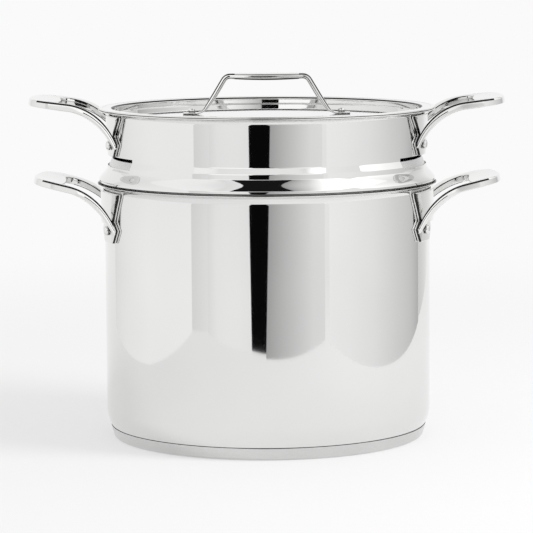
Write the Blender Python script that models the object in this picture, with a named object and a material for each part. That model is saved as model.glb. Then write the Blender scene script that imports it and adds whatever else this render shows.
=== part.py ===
"""Pasta pot in polished stainless steel: a stock pot, a perforated insert that hangs in it, and a lid.

Metres, +Z up, standing on z = 0. The loop handles point along +X and -X. At rest the skirt of the insert
stands on the rim of the pot and the lid lies on the rim of the insert.
"""

import math
from dataclasses import dataclass

import bpy
from mathutils import Matrix, Vector

# Running and seating gap between pieces
CLEARANCE = 0.0003

# Pot body
POT_RADIUS = 0.1330
POT_HEIGHT = 0.2100
POT_WALL = 0.0009
POT_LIP_BEND = 0.0085
POT_LIP_TURN = 70
POT_CORNER = 0.0300
POT_CORNER_TURN = 30
POT_HEEL = 0.0060

# Base under the pot
CAP_WALL = 0.0005
CAP_DRAFT = 0.0021
CAP_EDGE = 0.0030
CORE_THICKNESS = 0.0055

# Collar of the insert
COLLAR_WALL = 0.0009
COLLAR_HEIGHT = 0.0594
COLLAR_LIP_BEND = 0.0042
COLLAR_LIP_TURN = 85
COLLAR_FLANGE = 0.0052
SHOULDER_LOW = 0.0152
SHOULDER_RUN = 0.0068
SHOULDER_STEP = 0.0024
SKIRT_INSET = 0.0014
SKIRT_TURN = 86

# Steam slots through the collar, one under each of its handles
SLOT_LOW = 0.0140
SLOT_HEIGHT = 0.0085
SLOT_HALF_ANGLE = 34

# Perforated basket
BASKET_WALL = 0.0008
BASKET_PLAY = 0.0027
BASKET_TOP_MARGIN = 0.0022
BASKET_FLOOR_Z = 0.0320
BASKET_TAPER = 0.0020
BASKET_CORNER = 0.0180
HOLE_DIAMETER = 0.0090
HOLE_SIDES = 6
HOLE_BAND_MARGIN = 0.0315
WALL_HOLE_ROWS = 4
WALL_HOLE_COLUMNS = 20
FLOOR_HOLE_RINGS = 3
FLOOR_HOLES_INSIDE = 6
FLOOR_HUB = 0.0120
FLOOR_EDGE_MARGIN = 0.0030

# Lid
LID_WALL = 0.0009
LID_RIM_THICKNESS = 0.0018
LID_RIM_WIDTH = 0.0046
LID_DEPTH = 0.0076
LID_PLAY = 0.0007
LID_BEND = 0.0028

# Bent strap on the lid
STRAP_THICKNESS = 0.0022
STRAP_WIDTH = 0.0150
STRAP_RISE = 0.0334
STRAP_FOOT_END = 0.0680
STRAP_FOOT_RIVET = 0.0610
STRAP_LEG_FOOT = 0.0530
STRAP_LEG_TOP = 0.0340
STRAP_BEND = 0.0050
GRIP_THICKNESS = 0.0050
GRIP_WIDTH = 0.0190

# Rivets
RIVET_SHANK = 0.0025
RIVET_HEAD = 0.0037
RIVET_DOME = 0.0026
RIVET_TAIL = 0.0041
RIVET_TAIL_HEIGHT = 0.0013
LID_RIVET_HEAD = 0.0031

# Facets: a pierced cell of the basket spans two of them, so all round walls stay in step
ROUND_STEPS = 2 * WALL_HOLE_COLUMNS
BEND_STEPS = 3
RIVET_SIDES = 10
SHARP_ANGLE = 35


@dataclass(frozen=True)
class LoopSizes:
    """One cast loop handle. Drops are measured down from the rim, turns in degrees round the pot."""

    reach: float
    tip_rise: float
    tab_slope: float
    leg_slope: float
    bend: float
    tab_thickness: float
    leg_thickness: float
    bend_swell: float
    tab_width: float
    tab_corner: float
    tab_depth: float
    tab_depth_side: float
    arm_width: float
    leg_width: float
    leg_turn: float
    leg_drop: float
    plate_thickness: float
    plate_drop: float
    plate_turn: float
    waist_drop: float
    waist_turn: float
    pad_drop: float
    pad_turn: float
    foot_drop: float
    foot_turn: float
    rivet_drop: float
    rivet_turn: float


POT_LOOP = LoopSizes(
    reach=0.0566,
    tip_rise=0.0060,
    tab_slope=14.0,
    leg_slope=74.0,
    bend=0.0420,
    tab_thickness=0.0056,
    leg_thickness=0.0026,
    bend_swell=0.0014,
    tab_width=0.0920,
    tab_corner=0.0150,
    tab_depth=0.0255,
    tab_depth_side=0.0195,
    arm_width=0.0105,
    leg_width=0.0034,
    leg_turn=27.4,
    leg_drop=0.0370,
    plate_thickness=0.0028,
    plate_drop=0.0049,
    plate_turn=30.0,
    waist_drop=0.0278,
    waist_turn=24.9,
    pad_drop=0.0347,
    pad_turn=28.0,
    foot_drop=0.0452,
    foot_turn=25.0,
    rivet_drop=0.0356,
    rivet_turn=20.2,
)

INSERT_LOOP = LoopSizes(
    reach=0.0653,
    tip_rise=0.0100,
    tab_slope=7.0,
    leg_slope=72.0,
    bend=0.0440,
    tab_thickness=0.0056,
    leg_thickness=0.0026,
    bend_swell=0.0018,
    tab_width=0.0880,
    tab_corner=0.0150,
    tab_depth=0.0255,
    tab_depth_side=0.0195,
    arm_width=0.0105,
    leg_width=0.0034,
    leg_turn=23.2,
    leg_drop=0.0288,
    plate_thickness=0.0028,
    plate_drop=0.0038,
    plate_turn=26.0,
    waist_drop=0.0195,
    waist_turn=20.0,
    pad_drop=0.0264,
    pad_turn=23.7,
    foot_drop=0.0361,
    foot_turn=20.4,
    rivet_drop=0.0272,
    rivet_turn=16.4,
)

ARM_STATIONS = 10
CORNER_STATIONS = 4
EDGE_BEVEL = 0.0010
WEB_COLUMNS = 5
LEG_COLUMNS = 3
ARCH_ROW = 3

STEEL = ((0.60, 0.60, 0.59), 0.08)
SATIN_STEEL = ((0.56, 0.56, 0.55), 0.28)
CAST_STEEL = ((0.62, 0.62, 0.61), 0.12)
ALUMINIUM = ((0.75, 0.75, 0.76), 0.40)

# Levels and radii that follow from the sizes above
POT_FLOOR_UNDER = CAP_WALL + CLEARANCE + CORE_THICKNESS + CLEARANCE
POT_LIP_START = POT_HEIGHT - (POT_LIP_BEND + POT_WALL) * math.sin(math.radians(POT_LIP_TURN))
POT_RIM_RADIUS = POT_RADIUS + POT_LIP_BEND * (1 - math.cos(math.radians(POT_LIP_TURN)))
SEAM_RADIUS = POT_RADIUS - POT_CORNER * (1 - math.cos(math.radians(POT_CORNER_TURN)))
SEAM_Z = POT_FLOOR_UNDER + POT_HEEL * (1 - math.sin(math.radians(POT_CORNER_TURN)))
CORNER_Z = SEAM_Z + POT_CORNER * math.sin(math.radians(POT_CORNER_TURN))
BASKET_RADIUS = POT_RADIUS - POT_WALL - BASKET_PLAY
BAND_RADIUS = BASKET_RADIUS + CLEARANCE + COLLAR_WALL
COLLAR_RADIUS = BAND_RADIUS - SHOULDER_STEP
COLLAR_INSIDE = COLLAR_RADIUS - COLLAR_WALL
SKIRT_RADIUS = POT_RIM_RADIUS - SKIRT_INSET
SKIRT_BEND = (SKIRT_RADIUS - BAND_RADIUS) / (1 - math.cos(math.radians(SKIRT_TURN)))


def pot_lip_top(radius):
    """Height of the upper side of the pouring rim at a radius."""
    centre = POT_RADIUS + POT_LIP_BEND
    bend = POT_LIP_BEND + POT_WALL
    return POT_LIP_START + math.sqrt(bend**2 - (centre - radius) ** 2)


SKIRT_Z = pot_lip_top(SKIRT_RADIUS) + CLEARANCE
COLLAR_RIM_Z = SKIRT_Z + COLLAR_HEIGHT
FLANGE_RISE = COLLAR_FLANGE * math.tan(math.radians(90 - COLLAR_LIP_TURN))
COLLAR_LIP_RISE = (COLLAR_LIP_BEND + COLLAR_WALL) * math.sin(math.radians(COLLAR_LIP_TURN))
COLLAR_LIP_START = COLLAR_RIM_Z - FLANGE_RISE - COLLAR_LIP_RISE
COLLAR_LIP_RUN = COLLAR_LIP_BEND * (1 - math.cos(math.radians(COLLAR_LIP_TURN)))
COLLAR_RIM_RADIUS = COLLAR_RADIUS + COLLAR_LIP_RUN + COLLAR_FLANGE
LID_SEAT_Z = COLLAR_RIM_Z + CLEARANCE
LID_TOP_Z = LID_SEAT_Z + LID_RIM_THICKNESS
LID_PANEL_Z = LID_TOP_Z - LID_DEPTH


def lip_outside(radius, start, bend, z):
    """Outer radius at a height of a wall that curls out into a lip from a start height."""
    rise = min(max(z - start, 0.0), bend)
    return radius + bend - math.sqrt(bend**2 - rise**2)


def pot_outside(z):
    """Outer radius of the pot at a height of its wall or lip."""
    return lip_outside(POT_RADIUS, POT_LIP_START, POT_LIP_BEND, z)


def collar_outside(z):
    """Outer radius of the collar at a height above its shoulder."""
    return lip_outside(COLLAR_RADIUS, COLLAR_LIP_START, COLLAR_LIP_BEND, z)


def facet_sag(radius):
    """How far the middle of a facet lies inside the true radius."""
    return radius * (1 - math.cos(math.pi / ROUND_STEPS))


def blend(first, last, share):
    """Value or vector between two."""
    return first + (last - first) * share


def arc(centre, radius, start, end, steps=BEND_STEPS):
    """Points of an arc in the r-z plane, from the start angle to the end angle, in degrees from +r."""
    angles = [math.radians(blend(start, end, i / steps)) for i in range(steps + 1)]
    return [(centre[0] + radius * math.cos(a), centre[1] + radius * math.sin(a)) for a in angles]


def offsets(path):
    """Mitred unit offset at each point of a path, to the right of travel."""
    sides = []
    for (r0, z0), (r1, z1) in zip(path, path[1:]):
        length = math.hypot(r1 - r0, z1 - z0)
        sides.append(Vector(((z1 - z0) / length, (r0 - r1) / length)))
    found = [sides[0]]
    for before, after in zip(sides, sides[1:]):
        middle = (before + after).normalized()
        found.append(middle / middle.dot(before))
    return found + [sides[-1]]


def sheet(path, wall):
    """Closed outline of a sheet of even thickness, whose outer side is the path."""
    back = [(p[0] + n[0] * wall, p[1] + n[1] * wall) for p, n in zip(path, offsets(path))]
    return path + back[::-1]


def material(name, look):
    """Metal with one colour and roughness."""
    colour, roughness = look
    made = bpy.data.materials.new(name)
    made.use_nodes = True
    shader = made.node_tree.nodes["Principled BSDF"]
    shader.inputs["Base Color"].default_value = (*colour, 1.0)
    shader.inputs["Metallic"].default_value = 1.0
    shader.inputs["Roughness"].default_value = roughness
    return made


def mesh_of(name, points, faces=(), edges=()):
    """Mesh from points and either faces or edges."""
    mesh = bpy.data.meshes.new(name)
    mesh.from_pydata([tuple(p) for p in points], list(edges), list(faces))
    mesh.update()
    return mesh


def shade(mesh):
    """Smooth shading with sharp edges."""
    mesh.shade_smooth()
    mesh.set_sharp_from_angle(angle=math.radians(SHARP_ANGLE))


def add_piece(name, mesh, look, frame=None):
    """Object with a material of its own, which keeps to the object when the mesh is shared."""
    obj = bpy.data.objects.new(name, mesh)
    bpy.context.scene.collection.objects.link(obj)
    if not mesh.materials:
        mesh.materials.append(None)
    obj.material_slots[0].link = "OBJECT"
    obj.material_slots[0].material = material(name + "_metal", look)
    if frame:
        obj.matrix_world = frame
    return obj


def add_cutter(name, mesh, frame=None):
    """Guide shape that is left out of the build and drawn as a wire."""
    obj = bpy.data.objects.new(name, mesh)
    bpy.context.scene.collection.objects.link(obj)
    obj.hide_render = True
    obj.display_type = "WIRE"
    if frame:
        obj.matrix_world = frame
    return obj


def boolean(obj, other, operation):
    """Boolean modifier between an object and a guide shape."""
    modifier = obj.modifiers.new(operation.lower() + " " + other.name, "BOOLEAN")
    modifier.operation = operation
    modifier.object = other
    modifier.solver = "EXACT"


def revolve(name, outline, look):
    """Turned piece: a Screw modifier on an outline that runs down its outer side."""
    count = len(outline)
    pairs = [(i, (i + 1) % count) for i in range(count)]
    edges = [(i, j) for i, j in pairs if outline[i][0] or outline[j][0]]
    obj = add_piece(name, mesh_of(name, [(r, 0, z) for r, z in outline], edges=edges), look)
    screw = obj.modifiers.new("turn", "SCREW")
    screw.axis = "Z"
    screw.steps = screw.render_steps = ROUND_STEPS
    screw.use_merge_vertices = True
    screw.merge_threshold = 0.00001
    screw.use_smooth_shade = True
    return obj


def loft(name, stations):
    """Closed skin through stations of as many points, each run round like a screw driven forward."""
    count = len(stations[0])
    faces = []
    for i in range(len(stations) - 1):
        for j in range(count):
            k = (j + 1) % count
            faces.append((i * count + j, i * count + k, (i + 1) * count + k, (i + 1) * count + j))
    last = (len(stations) - 1) * count
    faces.append(tuple(range(count - 1, -1, -1)))
    faces.append(tuple(range(last, last + count)))
    return mesh_of(name, [p for station in stations for p in station], faces)


def pot_body():
    """Deep drawn shell with a flared rim and a corner that tightens towards the floor."""
    lip_centre = (POT_RADIUS + POT_LIP_BEND, POT_LIP_START)
    corner_centre = (POT_RADIUS - POT_CORNER, CORNER_Z)
    turn = math.radians(POT_CORNER_TURN)
    heel_centre = (SEAM_RADIUS - POT_HEEL * math.cos(turn), POT_FLOOR_UNDER + POT_HEEL)
    path = arc(lip_centre, POT_LIP_BEND, 180 - POT_LIP_TURN, 180)
    path += arc(corner_centre, POT_CORNER, 0, -POT_CORNER_TURN, 2)
    path += arc(heel_centre, POT_HEEL, -POT_CORNER_TURN, -90, 2)[1:]
    path.append((0.0, POT_FLOOR_UNDER))
    return revolve("pot_body", sheet(path, POT_WALL), STEEL)


def base_cap():
    """Thin stainless cup pressed over the core, up to the seam on the pot's corner."""
    rim = SEAM_RADIUS + CLEARANCE + CAP_WALL
    edge = arc((rim - CAP_DRAFT - CAP_EDGE, CAP_EDGE), CAP_EDGE, 0, -90, 2)
    path = [(rim, SEAM_Z)] + edge + [(0.0, 0.0)]
    return revolve("base_cap", sheet(path, CAP_WALL), SATIN_STEEL)


def base_core():
    """Aluminium disc that spreads the heat between the cap and the pot's floor."""
    low = CAP_WALL + CLEARANCE
    high = low + CORE_THICKNESS
    side = SEAM_RADIUS - CAP_DRAFT
    outline = [(0.0, high), (SEAM_RADIUS - POT_HEEL, high), (side, CAP_EDGE + low)]
    outline += [(side - CAP_EDGE + CAP_WALL, low), (0.0, low)]
    return revolve("base_core", outline, ALUMINIUM)


def slot_cutter(name, middle):
    """Solid sector of a ring that cuts one steam slot through the shoulder."""
    reach = SHOULDER_STEP + COLLAR_WALL
    inner, outer = COLLAR_INSIDE - reach, BAND_RADIUS + reach
    low = SKIRT_Z + SLOT_LOW
    high = low + SLOT_HEIGHT
    section = ((inner, low), (inner, high), (outer, high), (outer, low))
    steps = ROUND_STEPS // 4
    stations = []
    for i in range(steps + 1):
        a = math.radians(middle + SLOT_HALF_ANGLE * (2 * i / steps - 1))
        stations.append([(r * math.cos(a), r * math.sin(a), z) for r, z in section])
    return add_cutter(name, loft(name, stations))


def insert_collar():
    """Band with the upper lip, a shoulder, two steam slots and the skirt that stands on the pot."""
    lip_centre = (COLLAR_RADIUS + COLLAR_LIP_BEND, COLLAR_LIP_START)
    lip = arc(lip_centre, COLLAR_LIP_BEND, 180 - COLLAR_LIP_TURN, 180)
    shoulder = SKIRT_Z + SHOULDER_LOW
    skirt_rise = COLLAR_WALL + SKIRT_BEND * math.sin(math.radians(SKIRT_TURN))
    skirt_centre = (BAND_RADIUS + SKIRT_BEND, SKIRT_Z + skirt_rise)
    path = [(COLLAR_RIM_RADIUS, lip[0][1] + FLANGE_RISE)] + lip
    path += [(COLLAR_RADIUS, shoulder + SHOULDER_RUN), (BAND_RADIUS, shoulder)]
    path += arc(skirt_centre, SKIRT_BEND, 180, 180 + SKIRT_TURN)
    obj = revolve("insert_collar", sheet(path, COLLAR_WALL), STEEL)
    boolean(obj, slot_cutter("insert_slot_right", 0), "DIFFERENCE")
    boolean(obj, slot_cutter("insert_slot_left", 180), "DIFFERENCE")
    return obj


class PiercedCup:
    """Sheet cup built level by level, with rings of cells that each have a hole in the middle."""

    def __init__(self, wall, hole_sides, hole_radius):
        self.wall = wall
        self.hole_sides = hole_sides
        self.hole_radius = hole_radius
        self.path = []
        self.counts = []
        self.rings = []
        self.outer = []
        self.inner = []
        self.faces = []
        self.borders = []

    def level(self, point, count, cells=0, shift=0.0):
        """Next level down the outer side. The ring above it has that many pierced cells, or none."""
        if self.path:
            self.rings.append((cells, shift))
        self.path.append(Vector(point))
        self.counts.append(count)

    def place(self, along, turn, across=0.0):
        """Adds a point and the one behind it, at a level or between two, and gives its number."""
        i = min(int(along), len(self.path) - 2)
        at = blend(self.path[i], self.path[i + 1], along - i)
        back = at + blend(self.backs[i], self.backs[i + 1], along - i) * self.wall
        if across:
            turn += across / at[0]
        for side, (r, z) in ((self.outer, at), (self.inner, back)):
            side.append((r * math.cos(turn), r * math.sin(turn), z))
        return len(self.outer) - 1

    def zip_loops(self, outer, inner):
        """Triangles between two loops of (angle, point) pairs that run the same way round."""
        n, m = len(outer), len(inner)
        i = j = 0
        while i < n or j < m:
            a, b = outer[i % n][1], inner[j % m][1]
            next_outer = outer[(i + 1) % n][0] + math.tau * ((i + 1) // n)
            next_inner = inner[(j + 1) % m][0] + math.tau * ((j + 1) // m)
            if j == m or (i < n and next_outer <= next_inner):
                self.faces.append((a, outer[(i + 1) % n][1], b))
                i += 1
            else:
                self.faces.append((a, inner[(j + 1) % m][1], b))
                j += 1

    def pierced_cell(self, ring, middle, border):
        """One cell: a polygon hole in its middle, joined to its border."""
        upper, lower = self.path[ring], self.path[ring + 1]
        length = (upper - lower).length
        radius = 0.5 * (upper[0] + lower[0])
        hole = []
        for k in range(self.hole_sides):
            a = math.tau * (k + 0.5) / self.hole_sides - math.pi
            along = ring + 0.5 - self.hole_radius * math.sin(a) / length
            hole.append((a, self.place(along, middle, self.hole_radius * math.cos(a))))
        frame = []
        for turn, level, number in border:
            up = 0.5 * length if level == ring else -0.5 * length
            frame.append((math.atan2(up, (turn - middle) * radius), number))
        self.zip_loops(sorted(frame), hole)
        numbers = [number for a, number in hole]
        self.borders += zip(numbers, numbers[1:] + numbers[:1])

    def between(self, level, number, low, high):
        """Points of a level from one turn to another, both ends included."""
        step = math.tau / len(level)
        spots = range(round(low / step), round(high / step) + 1)
        return [(k * step, number, level[k % len(level)][1]) for k in spots]

    def close_floor(self, level):
        """Polygon over the middle of the floor, as a fan from its first point."""
        numbers = [number for turn, number in level]
        self.faces += [(numbers[0], b, a) for a, b in zip(numbers[1:], numbers[2:])]

    def mesh(self, name):
        """Both sides of the sheet, the walls of its holes and its rim."""
        self.backs = offsets(self.path)
        levels = []
        for i, count in enumerate(self.counts):
            turns = [math.tau * k / count for k in range(count)]
            levels.append([(turn, self.place(float(i), turn)) for turn in turns])
        for ring, (cells, shift) in enumerate(self.rings):
            top, low = levels[ring], levels[ring + 1]
            if not cells:
                self.zip_loops(low, top)
            for k in range(cells):
                a, b = math.tau * (k + shift) / cells, math.tau * (k + shift + 1) / cells
                border = self.between(top, ring, a, b) + self.between(low, ring + 1, a, b)
                self.pierced_cell(ring, 0.5 * (a + b), border)
        self.close_floor(levels[-1])
        rim = [number for turn, number in levels[0]]
        self.borders += zip(rim, rim[1:] + rim[:1])
        total = len(self.outer)
        faces = list(self.faces)
        faces += [tuple(total + i for i in reversed(face)) for face in self.faces]
        faces += [(a, b, b + total, a + total) for a, b in self.borders]
        return mesh_of(name, self.outer + self.inner, faces)


def insert_basket():
    """Perforated cup that hangs from the collar: rows of staggered holes and a drained floor."""
    cup = PiercedCup(BASKET_WALL, HOLE_SIDES, HOLE_DIAMETER / 2)
    top = SKIRT_Z + SLOT_LOW - BASKET_TOP_MARGIN
    foot = BASKET_RADIUS - BASKET_TAPER
    corner = (foot - BASKET_CORNER, BASKET_FLOOR_Z + BASKET_CORNER)
    rim, knee = Vector((BASKET_RADIUS, top)), Vector((foot, corner[1]))
    cup.level(rim, ROUND_STEPS)
    band = HOLE_BAND_MARGIN / (top - corner[1])
    cup.level(blend(rim, knee, band), ROUND_STEPS)
    for row in range(1, WALL_HOLE_ROWS + 1):
        at = blend(rim, knee, blend(band, 1.0, row / WALL_HOLE_ROWS))
        cup.level(at, ROUND_STEPS, WALL_HOLE_COLUMNS, 0.5 * (row % 2))
    for point in arc(corner, BASKET_CORNER, 0, -90)[1:]:
        cup.level(point, ROUND_STEPS)
    edge = corner[0] - FLOOR_EDGE_MARGIN
    cells = FLOOR_HOLES_INSIDE * 2 ** (FLOOR_HOLE_RINGS - 1)
    cup.level((edge, BASKET_FLOOR_Z), 2 * cells)
    for ring in range(1, FLOOR_HOLE_RINGS + 1):
        radius = blend(edge, FLOOR_HUB, ring / FLOOR_HOLE_RINGS)
        cup.level((radius, BASKET_FLOOR_Z), cells, cells)
        cells //= 2
    mesh = cup.mesh("insert_basket")
    shade(mesh)
    return add_piece("insert_basket", mesh, SATIN_STEEL)


def lid_shell():
    """Recessed lid: a thick rim on the lip of the insert, a short wall inside it and a flat panel."""
    wall_outside = COLLAR_INSIDE - LID_PLAY
    back_bend = LID_BEND + LID_WALL
    rim_inside = COLLAR_RIM_RADIUS - LID_RIM_WIDTH
    edge = 0.5 * LID_RIM_THICKNESS
    path = [(rim_inside, LID_SEAT_Z)]
    path += arc((wall_outside + LID_BEND, LID_SEAT_Z - LID_BEND), LID_BEND, 90, 180, 2)
    path += arc((wall_outside - back_bend, LID_PANEL_Z + LID_BEND), back_bend, 0, -90, 2)
    path.append((0.0, LID_PANEL_Z - LID_WALL))
    rim = [(rim_inside + 2 * edge, LID_TOP_Z), (COLLAR_RIM_RADIUS - edge, LID_TOP_Z)]
    rim += [(COLLAR_RIM_RADIUS, LID_SEAT_Z + edge), (COLLAR_RIM_RADIUS - edge, LID_SEAT_Z)]
    return revolve("lid_shell", sheet(path, LID_WALL) + rim, STEEL)


def fillet(corners, radius):
    """Path in the x-z plane with each inner corner rounded to an arc."""
    points = [Vector(c) for c in corners]
    path = [points[0]]
    for before, at, after in zip(points, points[1:], points[2:]):
        back, ahead = (before - at).normalized(), (after - at).normalized()
        half = 0.5 * back.angle(ahead)
        centre = at + (back + ahead).normalized() * (radius / math.sin(half))
        start = at + back * (radius / math.tan(half)) - centre
        end = at + ahead * (radius / math.tan(half)) - centre
        sweep = start.angle_signed(end)
        for i in range(BEND_STEPS + 1):
            path.append(centre + Matrix.Rotation(-sweep * i / BEND_STEPS, 2) @ start)
    return path + [points[-1]]


def lid_handle():
    """Bent strap with flat feet, leaning legs and a thick grip that swells below and to the sides."""
    middle = 0.5 * STRAP_THICKNESS
    foot = LID_PANEL_Z + CLEARANCE + middle
    top = LID_PANEL_Z + STRAP_RISE - middle
    corners = [(-STRAP_FOOT_END, foot), (-STRAP_LEG_FOOT, foot), (-STRAP_LEG_TOP, top), (0.0, top)]
    half = fillet(corners, STRAP_BEND)[:-1]
    grip_end = half[-1][0]
    half += [Vector((grip_end * (1 - i / BEND_STEPS), top)) for i in range(1, BEND_STEPS + 1)]
    path = half + [Vector((-x, z)) for x, z in half[-2::-1]]
    stations = []
    for i, (x, z) in enumerate(path):
        ahead = (path[min(i + 1, len(path) - 1)] - path[max(i - 1, 0)]).normalized()
        swell = max(0.0, 1 - (x / grip_end) ** 2)
        width = 0.5 * blend(STRAP_WIDTH, GRIP_WIDTH, swell)
        high, low = middle, middle - blend(STRAP_THICKNESS, GRIP_THICKNESS, swell)
        bevel = 0.5 * middle
        flat = width - bevel
        section = [(-width, low + bevel), (-flat, low), (flat, low), (width, low + bevel)]
        section += [(width, high - bevel), (flat, high), (-flat, high), (-width, high - bevel)]
        stations.append([(x - ahead[1] * up, y, z + ahead[0] * up) for y, up in section])
    mesh = loft("lid_handle", stations)
    shade(mesh)
    return add_piece("lid_handle", mesh, CAST_STEEL)


def rivet_mesh(name, head, grip):
    """Rivet along +Z: domed head above z = 0, shank down through the grip, flat tail under it."""
    low = -grip - CLEARANCE
    dome = CLEARANCE + RIVET_DOME
    profile = [(0.7 * head, blend(CLEARANCE, dome, 0.7)), (head, CLEARANCE)]
    profile += [(RIVET_SHANK, CLEARANCE), (RIVET_SHANK, low)]
    profile += [(RIVET_TAIL, low), (RIVET_TAIL, low - RIVET_TAIL_HEIGHT)]
    turns = [-math.tau * k / RIVET_SIDES for k in range(RIVET_SIDES)]
    rings = [[(r * math.cos(a), r * math.sin(a), z) for a in turns] for r, z in profile]
    mesh = loft(name, [[(0.2 * x, 0.2 * y, dome) for x, y, z in rings[0]]] + rings)
    shade(mesh)
    return mesh


def rod_cutter(name, frames, low):
    """Rods for rivet holes, one along the Z of each frame, from a level below it to above it."""
    radius = RIVET_SHANK + CLEARANCE
    turns = [-math.tau * k / RIVET_SIDES for k in range(RIVET_SIDES)]
    points, faces = [], []
    for frame in frames:
        ends = [[(radius * math.cos(a), radius * math.sin(a), z) for a in turns] for z in (radius, low)]
        rod = loft(name, ends)
        start = len(points)
        points += [frame @ v.co for v in rod.vertices]
        faces += [tuple(start + i for i in face.vertices) for face in rod.polygons]
        bpy.data.meshes.remove(rod)
    return add_cutter(name, mesh_of(name, points, faces))


class LoopHandle:
    """Cast loop handle: a plate on the wall, two legs that rise from it, arms and a solid tab."""

    def __init__(self, sizes, radius, outside, rim_z):
        self.sizes = sizes
        self.radius = radius
        self.outside = outside
        self.rim_z = rim_z
        self.root_off = CLEARANCE + 0.25 * sizes.plate_thickness
        a, b = math.radians(sizes.tab_slope), math.radians(sizes.leg_slope)
        out = sizes.reach - self.root_off - sizes.bend * (math.sin(b) - math.sin(a))
        down = sizes.tip_rise + sizes.leg_drop - sizes.bend * (math.cos(a) - math.cos(b))
        self.tab_run = (out * math.sin(b) - down * math.cos(b)) / math.sin(b - a)
        self.leg_run = (down * math.cos(a) - out * math.sin(a)) / math.sin(b - a)
        self.bend_run = sizes.bend * (b - a)
        self.length = self.tab_run + self.bend_run + self.leg_run

    def side(self, run):
        """Distance off the wall, height over the rim and slope of the upper side, from the tip in."""
        s = self.sizes
        start = math.radians(s.tab_slope)
        slope = start + min(max(run - self.tab_run, 0.0), self.bend_run) / s.bend
        before, after = min(run, self.tab_run), max(run - self.tab_run - self.bend_run, 0.0)
        off = s.reach - before * math.cos(start) - after * math.cos(slope)
        off -= s.bend * (math.sin(slope) - math.sin(start))
        z = s.tip_rise - before * math.sin(start) - after * math.sin(slope)
        z -= s.bend * (math.cos(start) - math.cos(slope))
        return off, z, slope

    def bar_point(self, y, run, depth):
        """Point of the bar, at a width, a run from the tip and a depth below its upper side."""
        off, z, slope = self.side(run)
        x = math.sqrt(self.radius**2 - y**2) + off + depth * math.sin(slope)
        return (x, y, self.rim_z + z - depth * math.cos(slope))

    def half_borders(self):
        """Outer and inner borders of half the loop as (y, run), from a leg's foot to mid tab."""
        s = self.sizes
        root = self.radius * math.sin(math.radians(s.leg_turn))
        half = 0.5 * s.tab_width
        inner_half = half - s.arm_width
        inner_corner = 0.5 * s.arm_width
        start = s.tab_depth_side + inner_corner
        pairs = []
        for i in range(ARM_STATIONS):
            share = i / (ARM_STATIONS - 1)
            run = blend(self.length, start, share)
            y = blend(root, half, min(1.0, 1.2 * share))
            width = blend(s.leg_width, s.arm_width, min(1.0, 1.6 * share))
            pairs.append((Vector((y, run)), Vector((y - width, run))))
        for i in range(CORNER_STATIONS):
            a = math.radians(90 * i / (CORNER_STATIONS - 1))
            aside, ahead = 1 - math.cos(a), math.sin(a)
            outer = Vector((half - s.tab_corner * aside, s.tab_corner * (1 - ahead)))
            inner = Vector((inner_half - inner_corner * aside, start - inner_corner * blend(0.2, 1, ahead)))
            pairs.append((outer, inner))
        tip, bay = pairs[-1][0][0], pairs[-1][1][0]
        for share in (0.5, 0.0):
            depth = blend(s.tab_depth, s.tab_depth_side, share**2)
            pairs.append((Vector((share * tip, 0.0)), Vector((share * bay, depth))))
        return pairs

    def thickness(self, run):
        """Thickness of the bar: fullest in the bend and thin at the foot of the leg."""
        s = self.sizes
        share = min(run / self.length, 1.0)
        return blend(s.tab_thickness, s.leg_thickness, share) + s.bend_swell * 4 * share * (1 - share)

    def bar_mesh(self, name):
        """Legs, arms and tab as one bar whose outer edges are bevelled above and below."""
        half = self.half_borders()
        mirror = Vector((-1, 1))
        whole = half + [(outer * mirror, inner * mirror) for outer, inner in half[-2::-1]]
        stations = []
        for outer, inner in whole:
            thick = self.thickness(outer[1])
            lip = blend(outer, inner, min(1.3 * EDGE_BEVEL / (outer - inner).length, 0.4))
            section = [(inner, 0.0), (inner, thick), (lip, thick)]
            section += [(outer, thick - 0.6 * EDGE_BEVEL), (outer, EDGE_BEVEL), (lip, 0.0)]
            stations.append([self.bar_point(p[0], p[1], depth) for p, depth in section])
        mesh = loft(name, stations)
        shade(mesh)
        return mesh

    def plate_rows(self):
        """Rows of the plate as a height and turns: a web between two legs, each with a pad."""
        s = self.sizes
        ends = [(s.plate_drop, s.plate_turn), (s.waist_drop, s.waist_turn)]
        ends += [(s.pad_drop, s.pad_turn), (s.foot_drop, s.foot_turn)]
        corners = [Vector(end) for end in ends]
        outline = [corners[0]]
        for before, after in zip(corners, corners[1:]):
            outline += [blend(before, after, 0.5), after]
        rows = []
        for i, (drop, turn) in enumerate(outline):
            inner = 2 * s.rivet_turn - outline[max(i, ARCH_ROW)][1]
            leg = [blend(inner, turn, k / LEG_COLUMNS) for k in range(LEG_COLUMNS + 1)]
            web = [inner * (2 * k / WEB_COLUMNS - 1) for k in range(1, WEB_COLUMNS)]
            rows.append((self.rim_z - drop, [-a for a in leg[::-1]] + web + leg))
        return rows

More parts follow.
